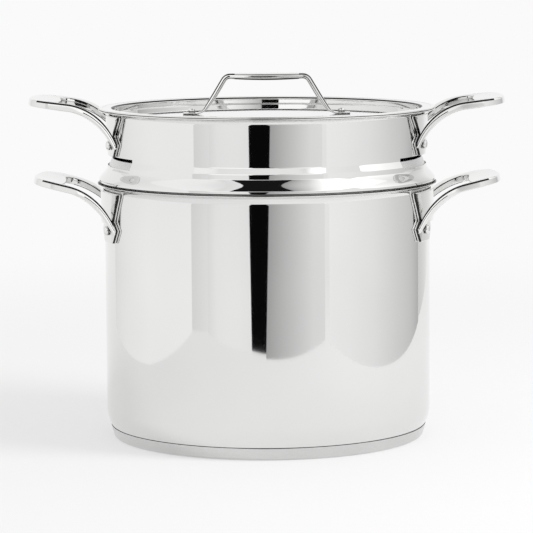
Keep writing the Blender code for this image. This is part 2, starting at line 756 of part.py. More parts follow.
    def plate_mesh(self, name):
        """Plate that hugs the wall, open between its legs below the arch row."""
        rows = self.plate_rows()
        columns = len(rows[0][1])
        points = []
        for depth in (CLEARANCE, CLEARANCE + self.sizes.plate_thickness):
            for z, turns in rows:
                r = self.outside(z) + depth
                points += [(r * math.cos(math.radians(a)), r * math.sin(math.radians(a)), z) for a in turns]
        back = len(points) // 2
        cells, borders = [], set()
        for i in range(len(rows) - 1):
            for j in range(columns - 1):
                if i >= ARCH_ROW and LEG_COLUMNS <= j < columns - 1 - LEG_COLUMNS:
                    continue
                a, b = i * columns + j, (i + 1) * columns + j
                cells.append((a, b, b + 1, a + 1))
                for side in ((a, b), (b, b + 1), (b + 1, a + 1), (a + 1, a)):
                    if side[::-1] in borders:
                        borders.remove(side[::-1])
                    else:
                        borders.add(side)
        faces = [tuple(p + back for p in cell) for cell in cells] + [cell[::-1] for cell in cells]
        faces += [(p, q, q + back, p + back) for p, q in sorted(borders)]
        used = sorted({p for face in faces for p in face})
        number = {p: k for k, p in enumerate(used)}
        mesh = mesh_of(name, [points[p] for p in used], [[number[p] for p in f] for f in faces])
        shade(mesh)
        return mesh

    def rivet_frame(self, turn):
        """Frame on the plate's outer face whose Z points out through the rivet's head."""
        s = self.sizes
        out = self.radius + CLEARANCE + s.plate_thickness
        place = Matrix.Translation((out, 0, self.rim_z - s.rivet_drop))
        return Matrix.Rotation(turn, 4, "Z") @ place @ Matrix.Rotation(math.pi / 2, 4, "Y")

    def add(self, prefix, vessel, wall):
        """Both handles of a vessel, their rivets, and the rivet holes through plate and wall."""
        s = self.sizes
        grip = s.plate_thickness + CLEARANCE + wall + facet_sag(self.radius)
        rivet = rivet_mesh(prefix + "_rivet", RIVET_HEAD, grip)
        plate = self.plate_mesh(prefix + "_plate")
        bar = self.bar_mesh(prefix + "_bar")
        lean = math.radians(s.rivet_turn)
        for side, turn, ends in (("right", 0.0, ("front", "back")), ("left", math.pi, ("back", "front"))):
            frame = Matrix.Rotation(turn, 4, "Z")
            rivets = [self.rivet_frame(turn - lean), self.rivet_frame(turn + lean)]
            holes = rod_cutter(f"{prefix}_holes_{side}", rivets, -2 * grip)
            handle = add_piece(f"{prefix}_handle_{side}", plate.copy(), CAST_STEEL, frame)
            boolean(handle, add_cutter(f"{prefix}_bar_{side}", bar, frame), "UNION")
            boolean(handle, holes, "DIFFERENCE")
            boolean(vessel, holes, "DIFFERENCE")
            for end, place in zip(ends, rivets):
                add_piece(f"{prefix}_rivet_{side}_{end}", rivet, CAST_STEEL, place)


def add_lid_rivets(lid, handle):
    """Rivets through the feet of the strap and the panel, and their holes."""
    level = LID_PANEL_Z + CLEARANCE + STRAP_THICKNESS
    grip = STRAP_THICKNESS + CLEARANCE + LID_WALL
    frames = [Matrix.Translation((x, 0, level)) for x in (-STRAP_FOOT_RIVET, STRAP_FOOT_RIVET)]
    holes = rod_cutter("lid_holes", frames, -2 * grip)
    boolean(lid, holes, "DIFFERENCE")
    boolean(handle, holes, "DIFFERENCE")
    mesh = rivet_mesh("lid_rivet", LID_RIVET_HEAD, grip)
    for side, frame in zip(("left", "right"), frames):
        add_piece("lid_rivet_" + side, mesh, CAST_STEEL, frame)


def joint_empty(name, z, prefix):
    """Empty on a lift-off joint, with the pieces that move together under it."""
    empty = bpy.data.objects.new(name, None)
    bpy.context.scene.collection.objects.link(empty)
    empty.location = (0, 0, z)
    bpy.context.view_layer.update()
    for obj in bpy.data.objects:
        if obj.name.startswith(prefix):
            obj.parent = empty
            obj.matrix_parent_inverse = empty.matrix_world.inverted()
    return empty


def main():
    """Clears the scene and models every piece where it rests."""
    for obj in list(bpy.data.objects):
        bpy.data.objects.remove(obj)
    pot = pot_body()
    base_cap()
    base_core()
    LoopHandle(POT_LOOP, POT_RADIUS, pot_outside, POT_HEIGHT).add("pot", pot, POT_WALL)
    collar = insert_collar()
    insert_basket()
    LoopHandle(INSERT_LOOP, COLLAR_RADIUS, collar_outside, COLLAR_RIM_Z).add("insert", collar, COLLAR_WALL)
    lid = lid_shell()
    add_lid_rivets(lid, lid_handle())
    on_pot = joint_empty("seat_on_pot", SKIRT_Z, "insert_")
    on_insert = joint_empty("seat_on_insert", LID_SEAT_Z, "lid_")
    on_insert.parent = on_pot
    on_insert.matrix_parent_inverse = on_pot.matrix_world.inverted()
    bpy.context.view_layer.update()


main()
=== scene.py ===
"""Looks of a polished steel pasta pot: a stock pot, a perforated insert that hangs in it, and a lid.

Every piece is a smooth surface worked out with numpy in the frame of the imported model, in metres.
"""

import logging
import math
from dataclasses import dataclass, field, replace
from enum import Enum
from typing import Any, Callable

import bmesh
import bpy
import numpy as np
from mathutils import Matrix, Vector, geometry


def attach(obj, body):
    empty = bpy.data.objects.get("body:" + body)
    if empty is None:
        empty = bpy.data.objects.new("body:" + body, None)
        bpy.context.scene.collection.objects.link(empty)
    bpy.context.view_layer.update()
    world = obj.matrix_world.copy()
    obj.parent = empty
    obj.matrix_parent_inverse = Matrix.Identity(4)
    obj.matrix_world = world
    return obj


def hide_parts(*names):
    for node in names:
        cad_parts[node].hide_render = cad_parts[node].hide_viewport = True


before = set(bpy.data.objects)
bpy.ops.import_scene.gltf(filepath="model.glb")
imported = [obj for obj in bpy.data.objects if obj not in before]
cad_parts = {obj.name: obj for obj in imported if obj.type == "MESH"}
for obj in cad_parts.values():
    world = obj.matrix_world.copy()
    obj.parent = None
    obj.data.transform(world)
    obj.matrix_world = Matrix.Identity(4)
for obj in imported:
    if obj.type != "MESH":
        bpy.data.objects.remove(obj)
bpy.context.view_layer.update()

Array = np.ndarray
Mesh = bpy.types.Mesh
Pair = tuple[float, float]
Triple = tuple[float, float, float]
log = logging.getLogger("pasta_pot")

CLEARANCE = 0.0003
ROUND_STEPS = 240
BEND_STEPS = 10
WELD = 0.000002
TINY = 1e-7


class Body(Enum):
    """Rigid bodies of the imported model."""

    POT = "pot"
    INSERT = "insert"
    LID = "lid"


class Slot(Enum):
    """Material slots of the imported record."""

    POLISHED = "polished_steel"
    SATIN = "satin_steel"
    CAST = "cast_steel"
    ALUMINIUM = "aluminium"


class Side(Enum):
    """Sides of the pot, with the turn that takes a right-hand handle there."""

    RIGHT = 0.0
    LEFT = math.pi


# Surfaces


def pairs(first: Array, second: Array) -> Array:
    """Points in a plane from their two coordinates."""
    return np.stack([first, second], axis=-1)


def even_turns(count: int) -> Array:
    """A full turn in even steps."""
    return np.linspace(0, math.tau, count, endpoint=False)


def ring(radius: float, turns: Array) -> Array:
    """Circle about the origin: the radius times the cosine and sine of each turn."""
    return radius * pairs(np.cos(turns), np.sin(turns))


def polar(radius: Array, turns: Array, height: Array) -> Array:
    """Points (r cos a, r sin a, z) from radii, turns about Z and heights."""
    return np.stack([radius * np.cos(turns), radius * np.sin(turns), height + 0 * turns], axis=-1)


def around(path: Array, turns: Array) -> Array:
    """Grid of a path's points (r, z) at some turns about Z."""
    return polar(path[:, :1], turns, path[:, 1:])


def arc(centre: Pair, radius: float, start: float, end: float, steps: int = BEND_STEPS) -> Array:
    """Arc in a plane: centre plus radius times the cosine and sine of each angle in degrees."""
    turns = np.radians(np.linspace(start, end, steps + 1))
    return pairs(centre[0] + radius * np.cos(turns), centre[1] + radius * np.sin(turns))


def unit(vectors: Array) -> Array:
    """Rows of vectors over their lengths."""
    return vectors / np.linalg.norm(vectors, axis=1, keepdims=True)


def side_of(path: Array) -> Array:
    """Mitred unit offset at each point of a path, to the right of travel.

    Args:
        path: Points in a plane, none of them twice in a row.

    Returns:
        The mean of the two neighbouring unit normals over its projection on either of them.
    """
    along = np.diff(path, axis=0)
    normal = unit(pairs(along[:, 1], -along[:, 0]))
    before = np.vstack([normal[:1], normal])
    middle = unit(before + np.vstack([normal, normal[-1:]]))
    return middle / np.sum(middle * before, axis=1, keepdims=True)


def supported(path: Array, margin: float = 0.0005) -> Array:
    """Adds points to every long stretch, so that bends don't shade flat walls.

    Args:
        path: Points in a plane.
        margin: Distance of the added points from the ends.

    Returns:
        The path with three more points on each stretch longer than four margins: near both ends
        and in the middle.
    """
    pieces = [path[:1]]
    for start, end in zip(path[:-1], path[1:]):
        length = float(np.linalg.norm(end - start))
        if length > 4 * margin:
            shares = np.array([margin / length, 0.5, 1 - margin / length])
            pieces.append(start + (end - start) * shares[:, None])
        pieces.append(end[None])
    return np.vstack(pieces)


def sheet_outline(path: Array, wall: float, rounded_start: bool = True) -> Array:
    """Outline of a sheet of even thickness whose outer side is the path.

    Args:
        path: Outer side, from its upper edge down.
        wall: Thickness to the right of travel.
        rounded_start: Whether the first edge is free, with a half circle of the wall's width.

    Returns:
        Outer side, then the inner side backwards, then the half circle.
    """
    path = supported(path)
    back = path + side_of(path) * wall
    parts = [path, back[::-1]]
    if rounded_start:
        parts.append(half_round(back[0], path[0], path[0] - path[1]))
    return np.vstack(parts)


def half_round(start: Array, end: Array, outward: Array, steps: int = 6) -> Array:
    """Half circle from one corner of a free edge to the other, without its two ends.

    Args:
        start: First corner.
        end: Second corner.
        outward: Direction in which the edge is free.
        steps: Number of chords.

    Returns:
        Middle plus the half width times the cosine along the edge plus the sine outward.
    """
    middle = 0.5 * (start + end)
    across = start - middle
    out = outward / np.linalg.norm(outward) * np.linalg.norm(across)
    turns = np.linspace(0, math.pi, steps + 1)[1:-1, None]
    return middle + across * np.cos(turns) + out * np.sin(turns)


@dataclass
class Solid:
    """Closed surface gathered from grids of points, welded where their borders meet."""

    points: list[Array] = field(default_factory=list)
    faces: list[list[int]] = field(default_factory=list)
    finishes: list[int] = field(default_factory=list)
    total: int = 0

    def add(self, points: Array, faces: Array, finish: Array | int = 0) -> None:
        """Adds points with their faces.

        Args:
            points: Points in any shape that ends in 3.
            faces: Rows of point numbers that count from the first of these points.
            finish: Number of the finish of each face, or one for all of them.
        """
        self.points.append(points.reshape(-1, 3))
        self.faces += (faces + self.total).tolist()
        self.finishes += np.broadcast_to(finish, len(faces)).tolist()
        self.total += len(self.points[-1])

    def grid(
        self,
        points: Array,
        wrap: bool = True,
        close: bool = False,
        keep: Array | None = None,
        finish: Array | int = 0,
    ) -> None:
        """Adds a grid of points as quads, each run round with its outer side up.

        Args:
            points: Rows of points, shaped rows by columns by 3.
            wrap: Whether the last column joins the first.
            close: Whether the last row joins the first.
            keep: Mask of the cells that are kept, or None for all.
            finish: Number of the finish of each cell, or one for all of them.
        """
        rows, columns = points.shape[:2]
        index = np.arange(rows * columns).reshape(rows, columns)
        if wrap:
            index = np.hstack([index, index[:, :1]])
        if close:
            index = np.vstack([index, index[:1]])
        cells = np.stack([index[:-1, :-1], index[1:, :-1], index[1:, 1:], index[:-1, 1:]], axis=-1)
        chosen = np.ones(cells.shape[:2], bool) if keep is None else keep
        self.add(points, cells[chosen], np.broadcast_to(finish, cells.shape[:2])[chosen])

    def cap(self, border: Array, backwards: bool = False) -> None:
        """Closes a border of points with one flat face."""
        order = np.arange(len(border))
        self.add(border, (order[::-1] if backwards else order)[None])

    def mesh(self, name: str, sharp: float = 40.0) -> Mesh:
        """Welded mesh with faces outwards and smooth shading up to an angle.

        Args:
            name: Name of the mesh.
            sharp: Angle in degrees from which an edge stays sharp.

        Returns:
            The mesh. Its signed volume, the sum of triple products over its triangles, is positive.
        """
        mesh = bpy.data.meshes.new(name)
        mesh.from_pydata(np.vstack(self.points).tolist(), [], self.faces)
        mesh.polygons.foreach_set("material_index", self.finishes)
        work = bmesh.new()
        work.from_mesh(mesh)
        bmesh.ops.remove_doubles(work, verts=work.verts, dist=WELD)
        bmesh.ops.dissolve_degenerate(work, edges=work.edges, dist=WELD)
        if work.calc_volume(signed=True) < 0:
            bmesh.ops.reverse_faces(work, faces=work.faces)
        work.to_mesh(mesh)
        work.free()
        mesh.shade_smooth()
        mesh.set_sharp_from_angle(angle=math.radians(sharp))
        return mesh


def turned(outline: Array, steps: int = ROUND_STEPS, close: bool = True, finish: Array | int = 0) -> Solid:
    """Solid of revolution about Z from an outline of points (r, z).

    Args:
        outline: Points in the order that leaves the solid on their inner side.
        steps: Number of steps round the axis.
        close: Whether the last point joins the first.
        finish: Number of the finish of each row, or one for all of them.

    Returns:
        The solid, with each outline point at every turn about the axis.
    """
    solid = Solid()
    solid.grid(around(outline, even_turns(steps)), close=close, finish=finish)
    return solid


def lofted(stations: Array, finish: Array | int = 0) -> Solid:
    """Solid through closed sections, with flat ends.

    Args:
        stations: Sections, shaped stations by points by 3.
        finish: Number of the finish of each cell, or one for all of them.

    Returns:
        The solid.
    """
    solid = Solid()
    solid.grid(stations, finish=finish)
    solid.cap(stations[0])
    solid.cap(stations[-1], backwards=True)
    return solid


def joined(name: str, parts: list[Mesh]) -> Mesh:
    """One mesh from several closed ones, with their sharp edges kept.

    Args:
        name: Name of the mesh.
        parts: Meshes that are used up.

    Returns:
        The new mesh.
    """
    work = bmesh.new()
    for part in parts:
        work.from_mesh(part)
    mesh = bpy.data.meshes.new(name)
    work.to_mesh(mesh)
    work.free()
    for part in parts:
        bpy.data.meshes.remove(part)
    return mesh


def moved(mesh: Mesh, matrix: Matrix) -> Mesh:
    """The mesh with its points moved by a matrix."""
    mesh.transform(matrix)
    return mesh


def quad(name: str, corners: Any) -> Mesh:
    """Mesh of one face with four corners.

    Args:
        name: Name of the mesh.
        corners: The corners in their order round the face.

    Returns:
        The mesh.
    """
    mesh = bpy.data.meshes.new(name)
    mesh.from_pydata(corners, [], [(0, 1, 2, 3)])
    return mesh


def placed(name: str, data: Any) -> bpy.types.Object:
    """New object of the scene with its data.

    Args:
        name: Name of the object.
        data: Mesh, light or camera that it shows.

    Returns:
        The object.
    """
    obj = bpy.data.objects.new(name, data)
    bpy.context.scene.collection.objects.link(obj)
    return obj


def smooth(share: Array) -> Array:
    """Smooth step from 0 to 1: three squares less two cubes of the clipped share."""
    share = np.clip(share, 0.0, 1.0)
    return share * share * (3 - 2 * share)


def eased(share: Array, rate: float, power: float) -> Array:
    """Share that rises fast and then slowly: 1 less a power of what is left at the rate."""
    return 1 - (1 - np.minimum(1.0, rate * share)) ** power


def blend(first: Any, last: Any, share: Any) -> Any:
    """Value between two, at a share of the way."""
    return first + (last - first) * share


# Materials


def math_node(operation: str, reflected: bool = False) -> Callable[..., "Wire"]:
    """Method of a wire that adds a Math node.

    Args:
        operation: Name of the node's operation.
        reflected: Whether the wire is the right-hand value.

    Returns:
        The method. Its arguments are the other values of the node.
    """

    def method(wire: "Wire", *others: Any) -> "Wire":
        """Wire of the node on this wire and the others."""
        values = (*others, wire) if reflected else (wire, *others)
        return wire.tree.node("Math", {"operation": operation}, dict(enumerate(values)))

    return method


class Wire:
    """Socket of a shader tree, whose operators add Math nodes."""

    __add__ = __radd__ = math_node("ADD")
    __sub__, __rsub__ = math_node("SUBTRACT"), math_node("SUBTRACT", reflected=True)
    __mul__ = __rmul__ = math_node("MULTIPLY")
    __truediv__, __rtruediv__ = math_node("DIVIDE"), math_node("DIVIDE", reflected=True)
    __pow__, __rpow__ = math_node("POWER"), math_node("POWER", reflected=True)
    __gt__, __lt__ = math_node("GREATER_THAN"), math_node("LESS_THAN")
    largest, wave = math_node("MAXIMUM"), math_node("SINE")

    def __init__(self, tree: "Tree", socket: bpy.types.NodeSocket) -> None:
        """Wraps one output socket of a tree."""
        self.tree = tree
        self.socket = socket

    def ramp(self, low: float, high: float) -> "Wire":
        """0 up to a low value and 1 from a high one, smooth between them."""
        limits = {"Value": self, "From Min": low, "From Max": high}
        return self.tree.node("MapRange", {"interpolation_type": "SMOOTHSTEP"}, limits)


class Tree:
    """Shader tree of a material or a world."""

    def __init__(self, owner: bpy.types.Material | bpy.types.World) -> None:
        """Starts from an empty tree with its output node.

        Args:
            owner: Material or world whose tree it is.
        """
        owner.use_nodes = True
        self.nodes = owner.node_tree.nodes
        self.links = owner.node_tree.links
        self.nodes.clear()
        kind = "World" if isinstance(owner, bpy.types.World) else "Material"
        self.output = self.nodes.new(f"ShaderNodeOutput{kind}")

    def node(self, kind: str, settings: dict[str, Any], values: dict[Any, Any], output: Any = 0) -> Wire:
        """Adds any node.

        Args:
            kind: Type of the node, without the prefix that all have.
            settings: Its own settings, set before its sockets.
            values: Value or wire of each input, by name or number.
            output: Name or number of the output that is wanted.

        Returns:
            The wire of that output.
        """
        made = self.nodes.new(f"ShaderNode{kind}")
        for name, value in settings.items():
            setattr(made, name, value)
        for name, value in values.items():
            self.feed(made.inputs[name], value)
        return Wire(self, made.outputs[output])

    def feed(self, socket: bpy.types.NodeSocket, value: Any) -> None:
        """Links a wire to a socket, or sets its value.

        Args:
            socket: Input of a node.
            value: The wire or the value.
        """
        if isinstance(value, Wire):
            self.links.new(value.socket, socket)
        else:
            socket.default_value = value

    def place(self, scale: Triple = (1.0, 1.0, 1.0)) -> Wire:
        """Object coordinates, stretched by a scale."""
        spot = self.node("TexCoord", {}, {}, "Object")
        return self.node("Mapping", {}, {"Vector": spot, "Scale": scale})

    def axes(self, vector: Wire) -> tuple[Wire, ...]:
        """The three parts of a vector."""
        first = self.node("SeparateXYZ", {}, {0: vector})
        return tuple(Wire(self, socket) for socket in first.socket.node.outputs)

    def noise(self, vector: Wire, scale: float, detail: float) -> Wire:
        """Noise between 0 and 1."""
        return self.node("TexNoise", {}, {"Vector": vector, "Scale": scale, "Detail": detail})

    def mixed(self, first: Any, second: Any, share: Wire) -> Wire:
        """Mix of two colours."""
        return self.node("Mix", {"data_type": "RGBA"}, {"Factor": share, 6: first, 7: second}, 2)

    def finish(self, shader: Wire) -> None:
        """Links the last shader to the output."""
        self.links.new(shader.socket, self.output.inputs["Surface"])


@dataclass(frozen=True)
class Metal:
    """Bare metal whose colour, gloss and fine relief vary over the surface.

    The relief is fine noise, or on spun metal also rings: a sine of the distance from the axis. A
    dark band can run round it between two heights: a dark joint together with painted shade of its gap.
    """

    name: str
    slot: Slot
    colour: Triple
    shade: Triple
    roughness: float
    roughness_spread: float
    relief: float
    relief_scale: Triple = (1.0, 1.0, 1.0)
    grain: float = 60.0
    spun: float = 0.0
    joint_and_shade_band: Pair | None = None
    band_colour: Triple = (0.012, 0.012, 0.012)
    band_roughness: float = 0.5
    patch: float = 9.0
    fine_detail: float = 4.0
    patch_detail: float = 2.0
    shade_range: Pair = (0.35, 0.75)
    gloss_shares: Pair = (0.6, 0.4)
    ring_wander: float = 2.0
    ring_relief: float = 0.3
    ring_gloss: float = 0.25
    bump_strength: float = 0.35
    bump_distance: float = 0.001

    def build(self) -> bpy.types.Material:
        """Principled material from the values of this finish.

        Returns:
            The material.
        """
        made = bpy.data.materials.new(self.name)
        tree = Tree(made)
        fine = tree.noise(tree.place(self.relief_scale), self.grain, self.fine_detail)
        broad = tree.noise(tree.place(), self.patch, self.patch_detail)
        colour = tree.mixed((*self.colour, 1.0), (*self.shade, 1.0), broad.ramp(*self.shade_range))
        height = fine * self.relief
        fine_share, broad_share = self.gloss_shares
        rough = self.roughness + self.roughness_spread * (fine_share * fine + broad_share * broad)
        x, y, z = tree.axes(tree.place())
        if self.spun:
            radius = (x * x + y * y) ** 0.5
            rings = (radius * self.spun + self.ring_wander * broad).wave()
            height = height + rings * (self.ring_relief * self.relief)
            rough = rough + self.ring_gloss * self.roughness_spread * rings
        # Dark band: a dark joint together with painted shade of the gap at the seam.
        if self.joint_and_shade_band:
            low, high = self.joint_and_shade_band
            band = (z > low) * (z < high)
            colour = tree.mixed(colour, (*self.band_colour, 1.0), band)
            rough = rough + band * self.band_roughness
        bump = {"Height": height, "Strength": self.bump_strength, "Distance": self.bump_distance}
        normal = tree.node("Bump", {}, bump)
        sockets = {"Base Color": colour, "Roughness": rough, "Metallic": 1.0, "Normal": normal}
        tree.finish(tree.node("BsdfPrincipled", {}, sockets))
        return made


STEEL = (0.80, 0.80, 0.79)
DRAWN = (1.0, 1.0, 9.0)
POLISHED = Metal("polished_steel", Slot.POLISHED, STEEL, (0.77, 0.77, 0.765), 0.025, 0.02, 0.004)
# The dark band round the seam with the base cup is a dark joint together with painted shade of the gap there.
BODY_STEEL = replace(POLISHED, name="polished_body_steel", joint_and_shade_band=(0.0088, 0.0104))
CAST = Metal("polished_cast_steel", Slot.CAST, STEEL, (0.74, 0.74, 0.735), 0.06, 0.04, 0.005, grain=240.0)
# Near-black metal, not a real finish: painted shade and painted dark reflections in thin lines along edges,
# chamfers and crevices.
PAINTED_EDGE_SHADE = Metal("shaded_edge", Slot.CAST, (0.03,) * 3, (0.018,) * 3, 0.30, 0.10, 0.005, grain=240.0)
INSIDE = Metal("brushed_inside", Slot.POLISHED, STEEL, (0.75, 0.75, 0.745), 0.34, 0.08, 0.02, DRAWN, 130.0)
SATIN = Metal(
    "satin_steel", Slot.SATIN, (0.66, 0.66, 0.655), (0.60, 0.60, 0.595), 0.24, 0.10, 0.05, DRAWN, 130.0
)
SPUN = Metal(
    "spun_steel", Slot.SATIN, (0.70, 0.70, 0.695), (0.64, 0.64, 0.635), 0.18, 0.10, 0.05, spun=5200.0
)
PLAIN_ALUMINIUM = Metal(
    "rolled_aluminium", Slot.ALUMINIUM, (0.78, 0.78, 0.79), (0.70, 0.70, 0.71), 0.34, 0.12, 0.08, grain=300.0
)


@dataclass
class Workshop:
    """Makes each finish once and puts finished pieces on their bodies."""

    made: dict[str, bpy.types.Material] = field(default_factory=dict)

    def material(self, finish: Metal) -> bpy.types.Material:
        """Material of a finish, made at its first use.

        Args:
            finish: The finish.

        Returns:
            The material.
        """
        if finish.name not in self.made:
            self.made[finish.name] = finish.build()
        return self.made[finish.name]

    def piece(self, name: str, mesh: Mesh, body: Body, finishes: tuple[Metal, ...], node: str) -> None:
        """Adds an object of the visual model that rides on a body.

        Args:
            name: Name of the piece.
            mesh: Its mesh, already in place.
            body: Body that it moves with.
            finishes: Its finishes, the first one also for its slot.
            node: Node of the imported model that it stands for.
        """
        obj = placed(name, mesh)
        for finish in finishes:
            mesh.materials.append(self.material(finish))
        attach(obj, body.value)
        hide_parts(node)
        log.info("%s: %d faces on %s", name, len(mesh.polygons), body.value)


# The pot


class Lipped:
    """Round wall with a lip that bends outwards. Its sizes are fields of the vessel."""

    radius: float
    lip_bend: float
    lip_turn: float
    lip_start: float

    def outside(self, z: Array) -> Array:
        """Outer radius at a height: the wall's, or the circle of the lip above its start."""
        rise = np.clip(z - self.lip_start, 0.0, self.lip_bend)
        return self.radius + self.lip_bend - np.sqrt(self.lip_bend**2 - rise**2)

    def lip(self) -> Array:
        """Outer side of the lip, from its edge down to the wall."""
        middle = (self.radius + self.lip_bend, self.lip_start)
        return arc(middle, self.lip_bend, 180 - self.lip_turn, 180)


@dataclass
class Pot(Lipped):
    """Deep drawn pot with a flared rim, its base cup and the disc inside it."""

    shop: Workshop
    radius: float = 0.1330
    height: float = 0.2091
    wall: float = 0.0009
    lip_bend: float = 0.0069
    lip_turn: float = 75.0
    corner: float = 0.0300
    corner_turn: float = 30.0
    heel: float = 0.0060
    cap_wall: float = 0.0005
    cap_draft: float = 0.0021
    cap_edge: float = 0.0030
    core_thickness: float = 0.0055
    painted_shade_rim_rows: int = 3

    def __post_init__(self) -> None:
        """Levels and radii that follow from the sizes."""
        turn = math.radians(self.corner_turn)
        self.floor_under = self.cap_wall + CLEARANCE + self.core_thickness + CLEARANCE
        self.lip_start = self.height - (self.lip_bend + self.wall) * math.sin(math.radians(self.lip_turn))
        self.seam_radius = self.radius - self.corner * (1 - math.cos(turn))
        self.seam_z = self.floor_under + self.heel * (1 - math.sin(turn))
        self.corner_z = self.seam_z + self.corner * math.sin(turn)

    def shell_path(self) -> Array:
        """Outer side from the rim down the wall and round the corner to the middle of the floor.

        Returns:
            Radii and heights.
        """
        turn = math.radians(self.corner_turn)
        bend = arc((self.radius - self.corner, self.corner_z), self.corner, 0, -self.corner_turn)
        heel_middle = (self.seam_radius - self.heel * math.cos(turn), self.floor_under + self.heel)
        heel = arc(heel_middle, self.heel, -self.corner_turn, -90)
        return np.vstack([self.lip(), bend, heel[1:], [[0.0, self.floor_under]]])

    def build(self) -> None:
        """Adds the shell and the base cup, and dresses the disc between them.

        The shell is brushed inside, and the upper half of its round rim edge has painted shade.
        """
        path = self.shell_path()
        outline = sheet_outline(path, self.wall)
        order = np.arange(len(outline))
        outer = len(supported(path))
        inner = 2 * outer - 1
        # The first rows of the rim's half-round edge get painted shade, which darkens the gap under the
        # skirt.
        finish = np.select([order < outer, order < inner, order < inner + self.painted_shade_rim_rows], [0, 1, 2], 0)
        shell = turned(outline, finish=finish[:, None]).mesh("pot_shell")
        self.shop.piece("pot_shell", shell, Body.POT, (BODY_STEEL, INSIDE, PAINTED_EDGE_SHADE), "pot_body")
        rim = self.seam_radius + CLEARANCE + self.cap_wall
        edge = arc((rim - self.cap_draft - self.cap_edge, self.cap_edge), self.cap_edge, 0, -90)
        path = np.vstack([[[rim, self.seam_z]], edge, [[0.0, 0.0]]])
        cup = turned(sheet_outline(path, self.cap_wall)).mesh("base_cup")
        self.shop.piece("base_cup", cup, Body.POT, (SPUN,), "base_cap")
        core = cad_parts["base_core"]
        core.data.materials.clear()
        core.data.materials.append(self.shop.material(PLAIN_ALUMINIUM))


# The insert


@dataclass
class Collar(Lipped):
    """Band of the insert: lip, shoulder with two steam slots, and the skirt that stands on the pot."""

    shop: Workshop
    pot: Pot
    wall: float = 0.0009
    rim_z: float = 0.2686
    skirt_low: float = 0.2102
    skirt_foot: float = 0.2124
    skirt_top: float = 0.2212
    skirt_slope: float = 28.3
    skirt_middle_slope: float = 42.0
    skirt_steps: int = 33
    hem_rise: float = 0.0004
    support: float = 0.0001
    lip_bend: float = 0.0042
    lip_turn: float = 85.0
    flange: float = 0.0052
    shoulder: float = 0.2250
    shoulder_run: float = 0.0050
    shoulder_step: float = 0.0024
    shoulder_reach: float = 0.0012
    shoulder_round: float = 0.0016
    basket_play: float = 0.0027
    slot_low: float = 0.2238
    slot_height: float = 0.0085
    slot_half_angle: float = 34.0
    # Below this height the skirt's inner side gets painted shade.
    painted_shade_top: float = 0.2150

    def __post_init__(self) -> None:
        """Levels and radii that follow from the sizes."""
        self.basket_radius = self.pot.radius - self.pot.wall - self.basket_play
        self.band_radius = self.basket_radius + CLEARANCE + self.wall
        self.radius = self.band_radius - self.shoulder_step
        self.inside = self.radius - self.wall
        turn = math.radians(self.lip_turn)
        self.flange_rise = self.flange / math.tan(turn)
        self.lip_start = self.rim_z - self.flange_rise - (self.lip_bend + self.wall) * math.sin(turn)
        self.rim_radius = self.radius + self.lip_bend * (1 - math.cos(turn)) + self.flange

    def path(self) -> Array:
        """Outer side from the lip to the skirt's hem.

        The skirt leaves the band at its slope, which rises to the middle slope by a half sine and
        falls back to where the hem begins. The radius grows by the tangent of the slope.

        Returns:
            Points (r, z).
        """
        lip = self.lip()
        start = [(self.rim_radius, lip[0, 1] + self.flange_rise)]
        high = self.shoulder + self.shoulder_run
        corners = np.array([
            (self.radius, high + self.shoulder_reach), (self.radius, high),
            (self.band_radius, self.shoulder), (self.band_radius, self.shoulder - self.shoulder_reach),
        ])
        share = np.linspace(0, 1, self.skirt_steps)
        z = blend(self.skirt_top, self.skirt_foot, share)
        slope = np.tan(np.radians(blend(self.skirt_slope, self.skirt_middle_slope, np.sin(math.pi * share))))
        growth = 0.5 * (slope[1:] + slope[:-1]) * -np.diff(z)
        radius = self.band_radius + np.concatenate([[0.0], np.cumsum(growth)])
        head = [(self.band_radius, self.skirt_top + self.support)]
        hem = [(radius[-1], self.skirt_foot - self.support), (radius[-1], self.skirt_low + self.hem_rise)]
        return np.vstack([start, lip, rounded(corners, self.shoulder_round), head, pairs(radius, z), hem])

    def build(self) -> None:
        """Adds the collar with its slots open, painted shade under the skirt and on its hem's foot, and
        brushed inside.
        """
        levels = np.array([self.slot_low + self.slot_height, self.slot_low])
        path = with_levels(supported(self.path()), levels)
        back = path + side_of(path) * self.wall
        half = math.radians(self.slot_half_angle)
        turns = slot_turns(half)
        middle = 0.5 * (turns + np.append(turns[1:], turns[0] + math.tau))
        reach = np.abs(np.remainder(middle + 0.5 * math.pi, math.pi) - 0.5 * math.pi)
        slot_rows = (path[:-1, 1] <= levels[0] + TINY) & (path[1:, 1] >= levels[1] - TINY)
        slot_columns = reach < half
        keep = ~(slot_rows[:, None] & slot_columns[None, :])
        outer, inner = around(path, turns), around(back, turns)
        solid = Solid()
        solid.grid(outer, keep=keep)
        level = path[1:, 1]
        # Inner side: painted shade under the skirt, so the gap over the pot's lip shows dark; brushed above
        # the shoulder.
        painted_shade_and_brushed = np.where(level < self.painted_shade_top, 1, np.where(level > self.shoulder, 2, 0))
        solid.grid(inner[::-1], keep=keep[::-1], finish=painted_shade_and_brushed[::-1, None])
        rim = sheet_edge(back[0], path[0], path[0] - path[1])
        solid.grid(around(rim, turns))
        foot = sheet_edge(path[-1], back[-1], path[-1] - path[-2])
        # The hem's foot edge gets painted shade.
        solid.grid(around(foot, turns), finish=1)
        rows = np.flatnonzero(slot_rows)
        top, low = rows[0], rows[-1] + 1
        span = slice(top, low + 1)
        for side in (1, -1):
            run = run_of(np.flatnonzero(slot_columns & (side * np.cos(middle) > 0)), len(turns))
            first, last = run[0], run[-1]
            solid.grid(np.stack([outer[top][run], inner[top][run]]), wrap=False)
            solid.grid(np.stack([inner[low][run], outer[low][run]]), wrap=False)
            solid.grid(np.stack([outer[span, last], inner[span, last]]), wrap=False)
            solid.grid(np.stack([inner[span, first], outer[span, first]]), wrap=False)
        mesh = solid.mesh("insert_band", 50.0)
        self.shop.piece("insert_band", mesh, Body.INSERT, (POLISHED, PAINTED_EDGE_SHADE, INSIDE), "insert_collar")


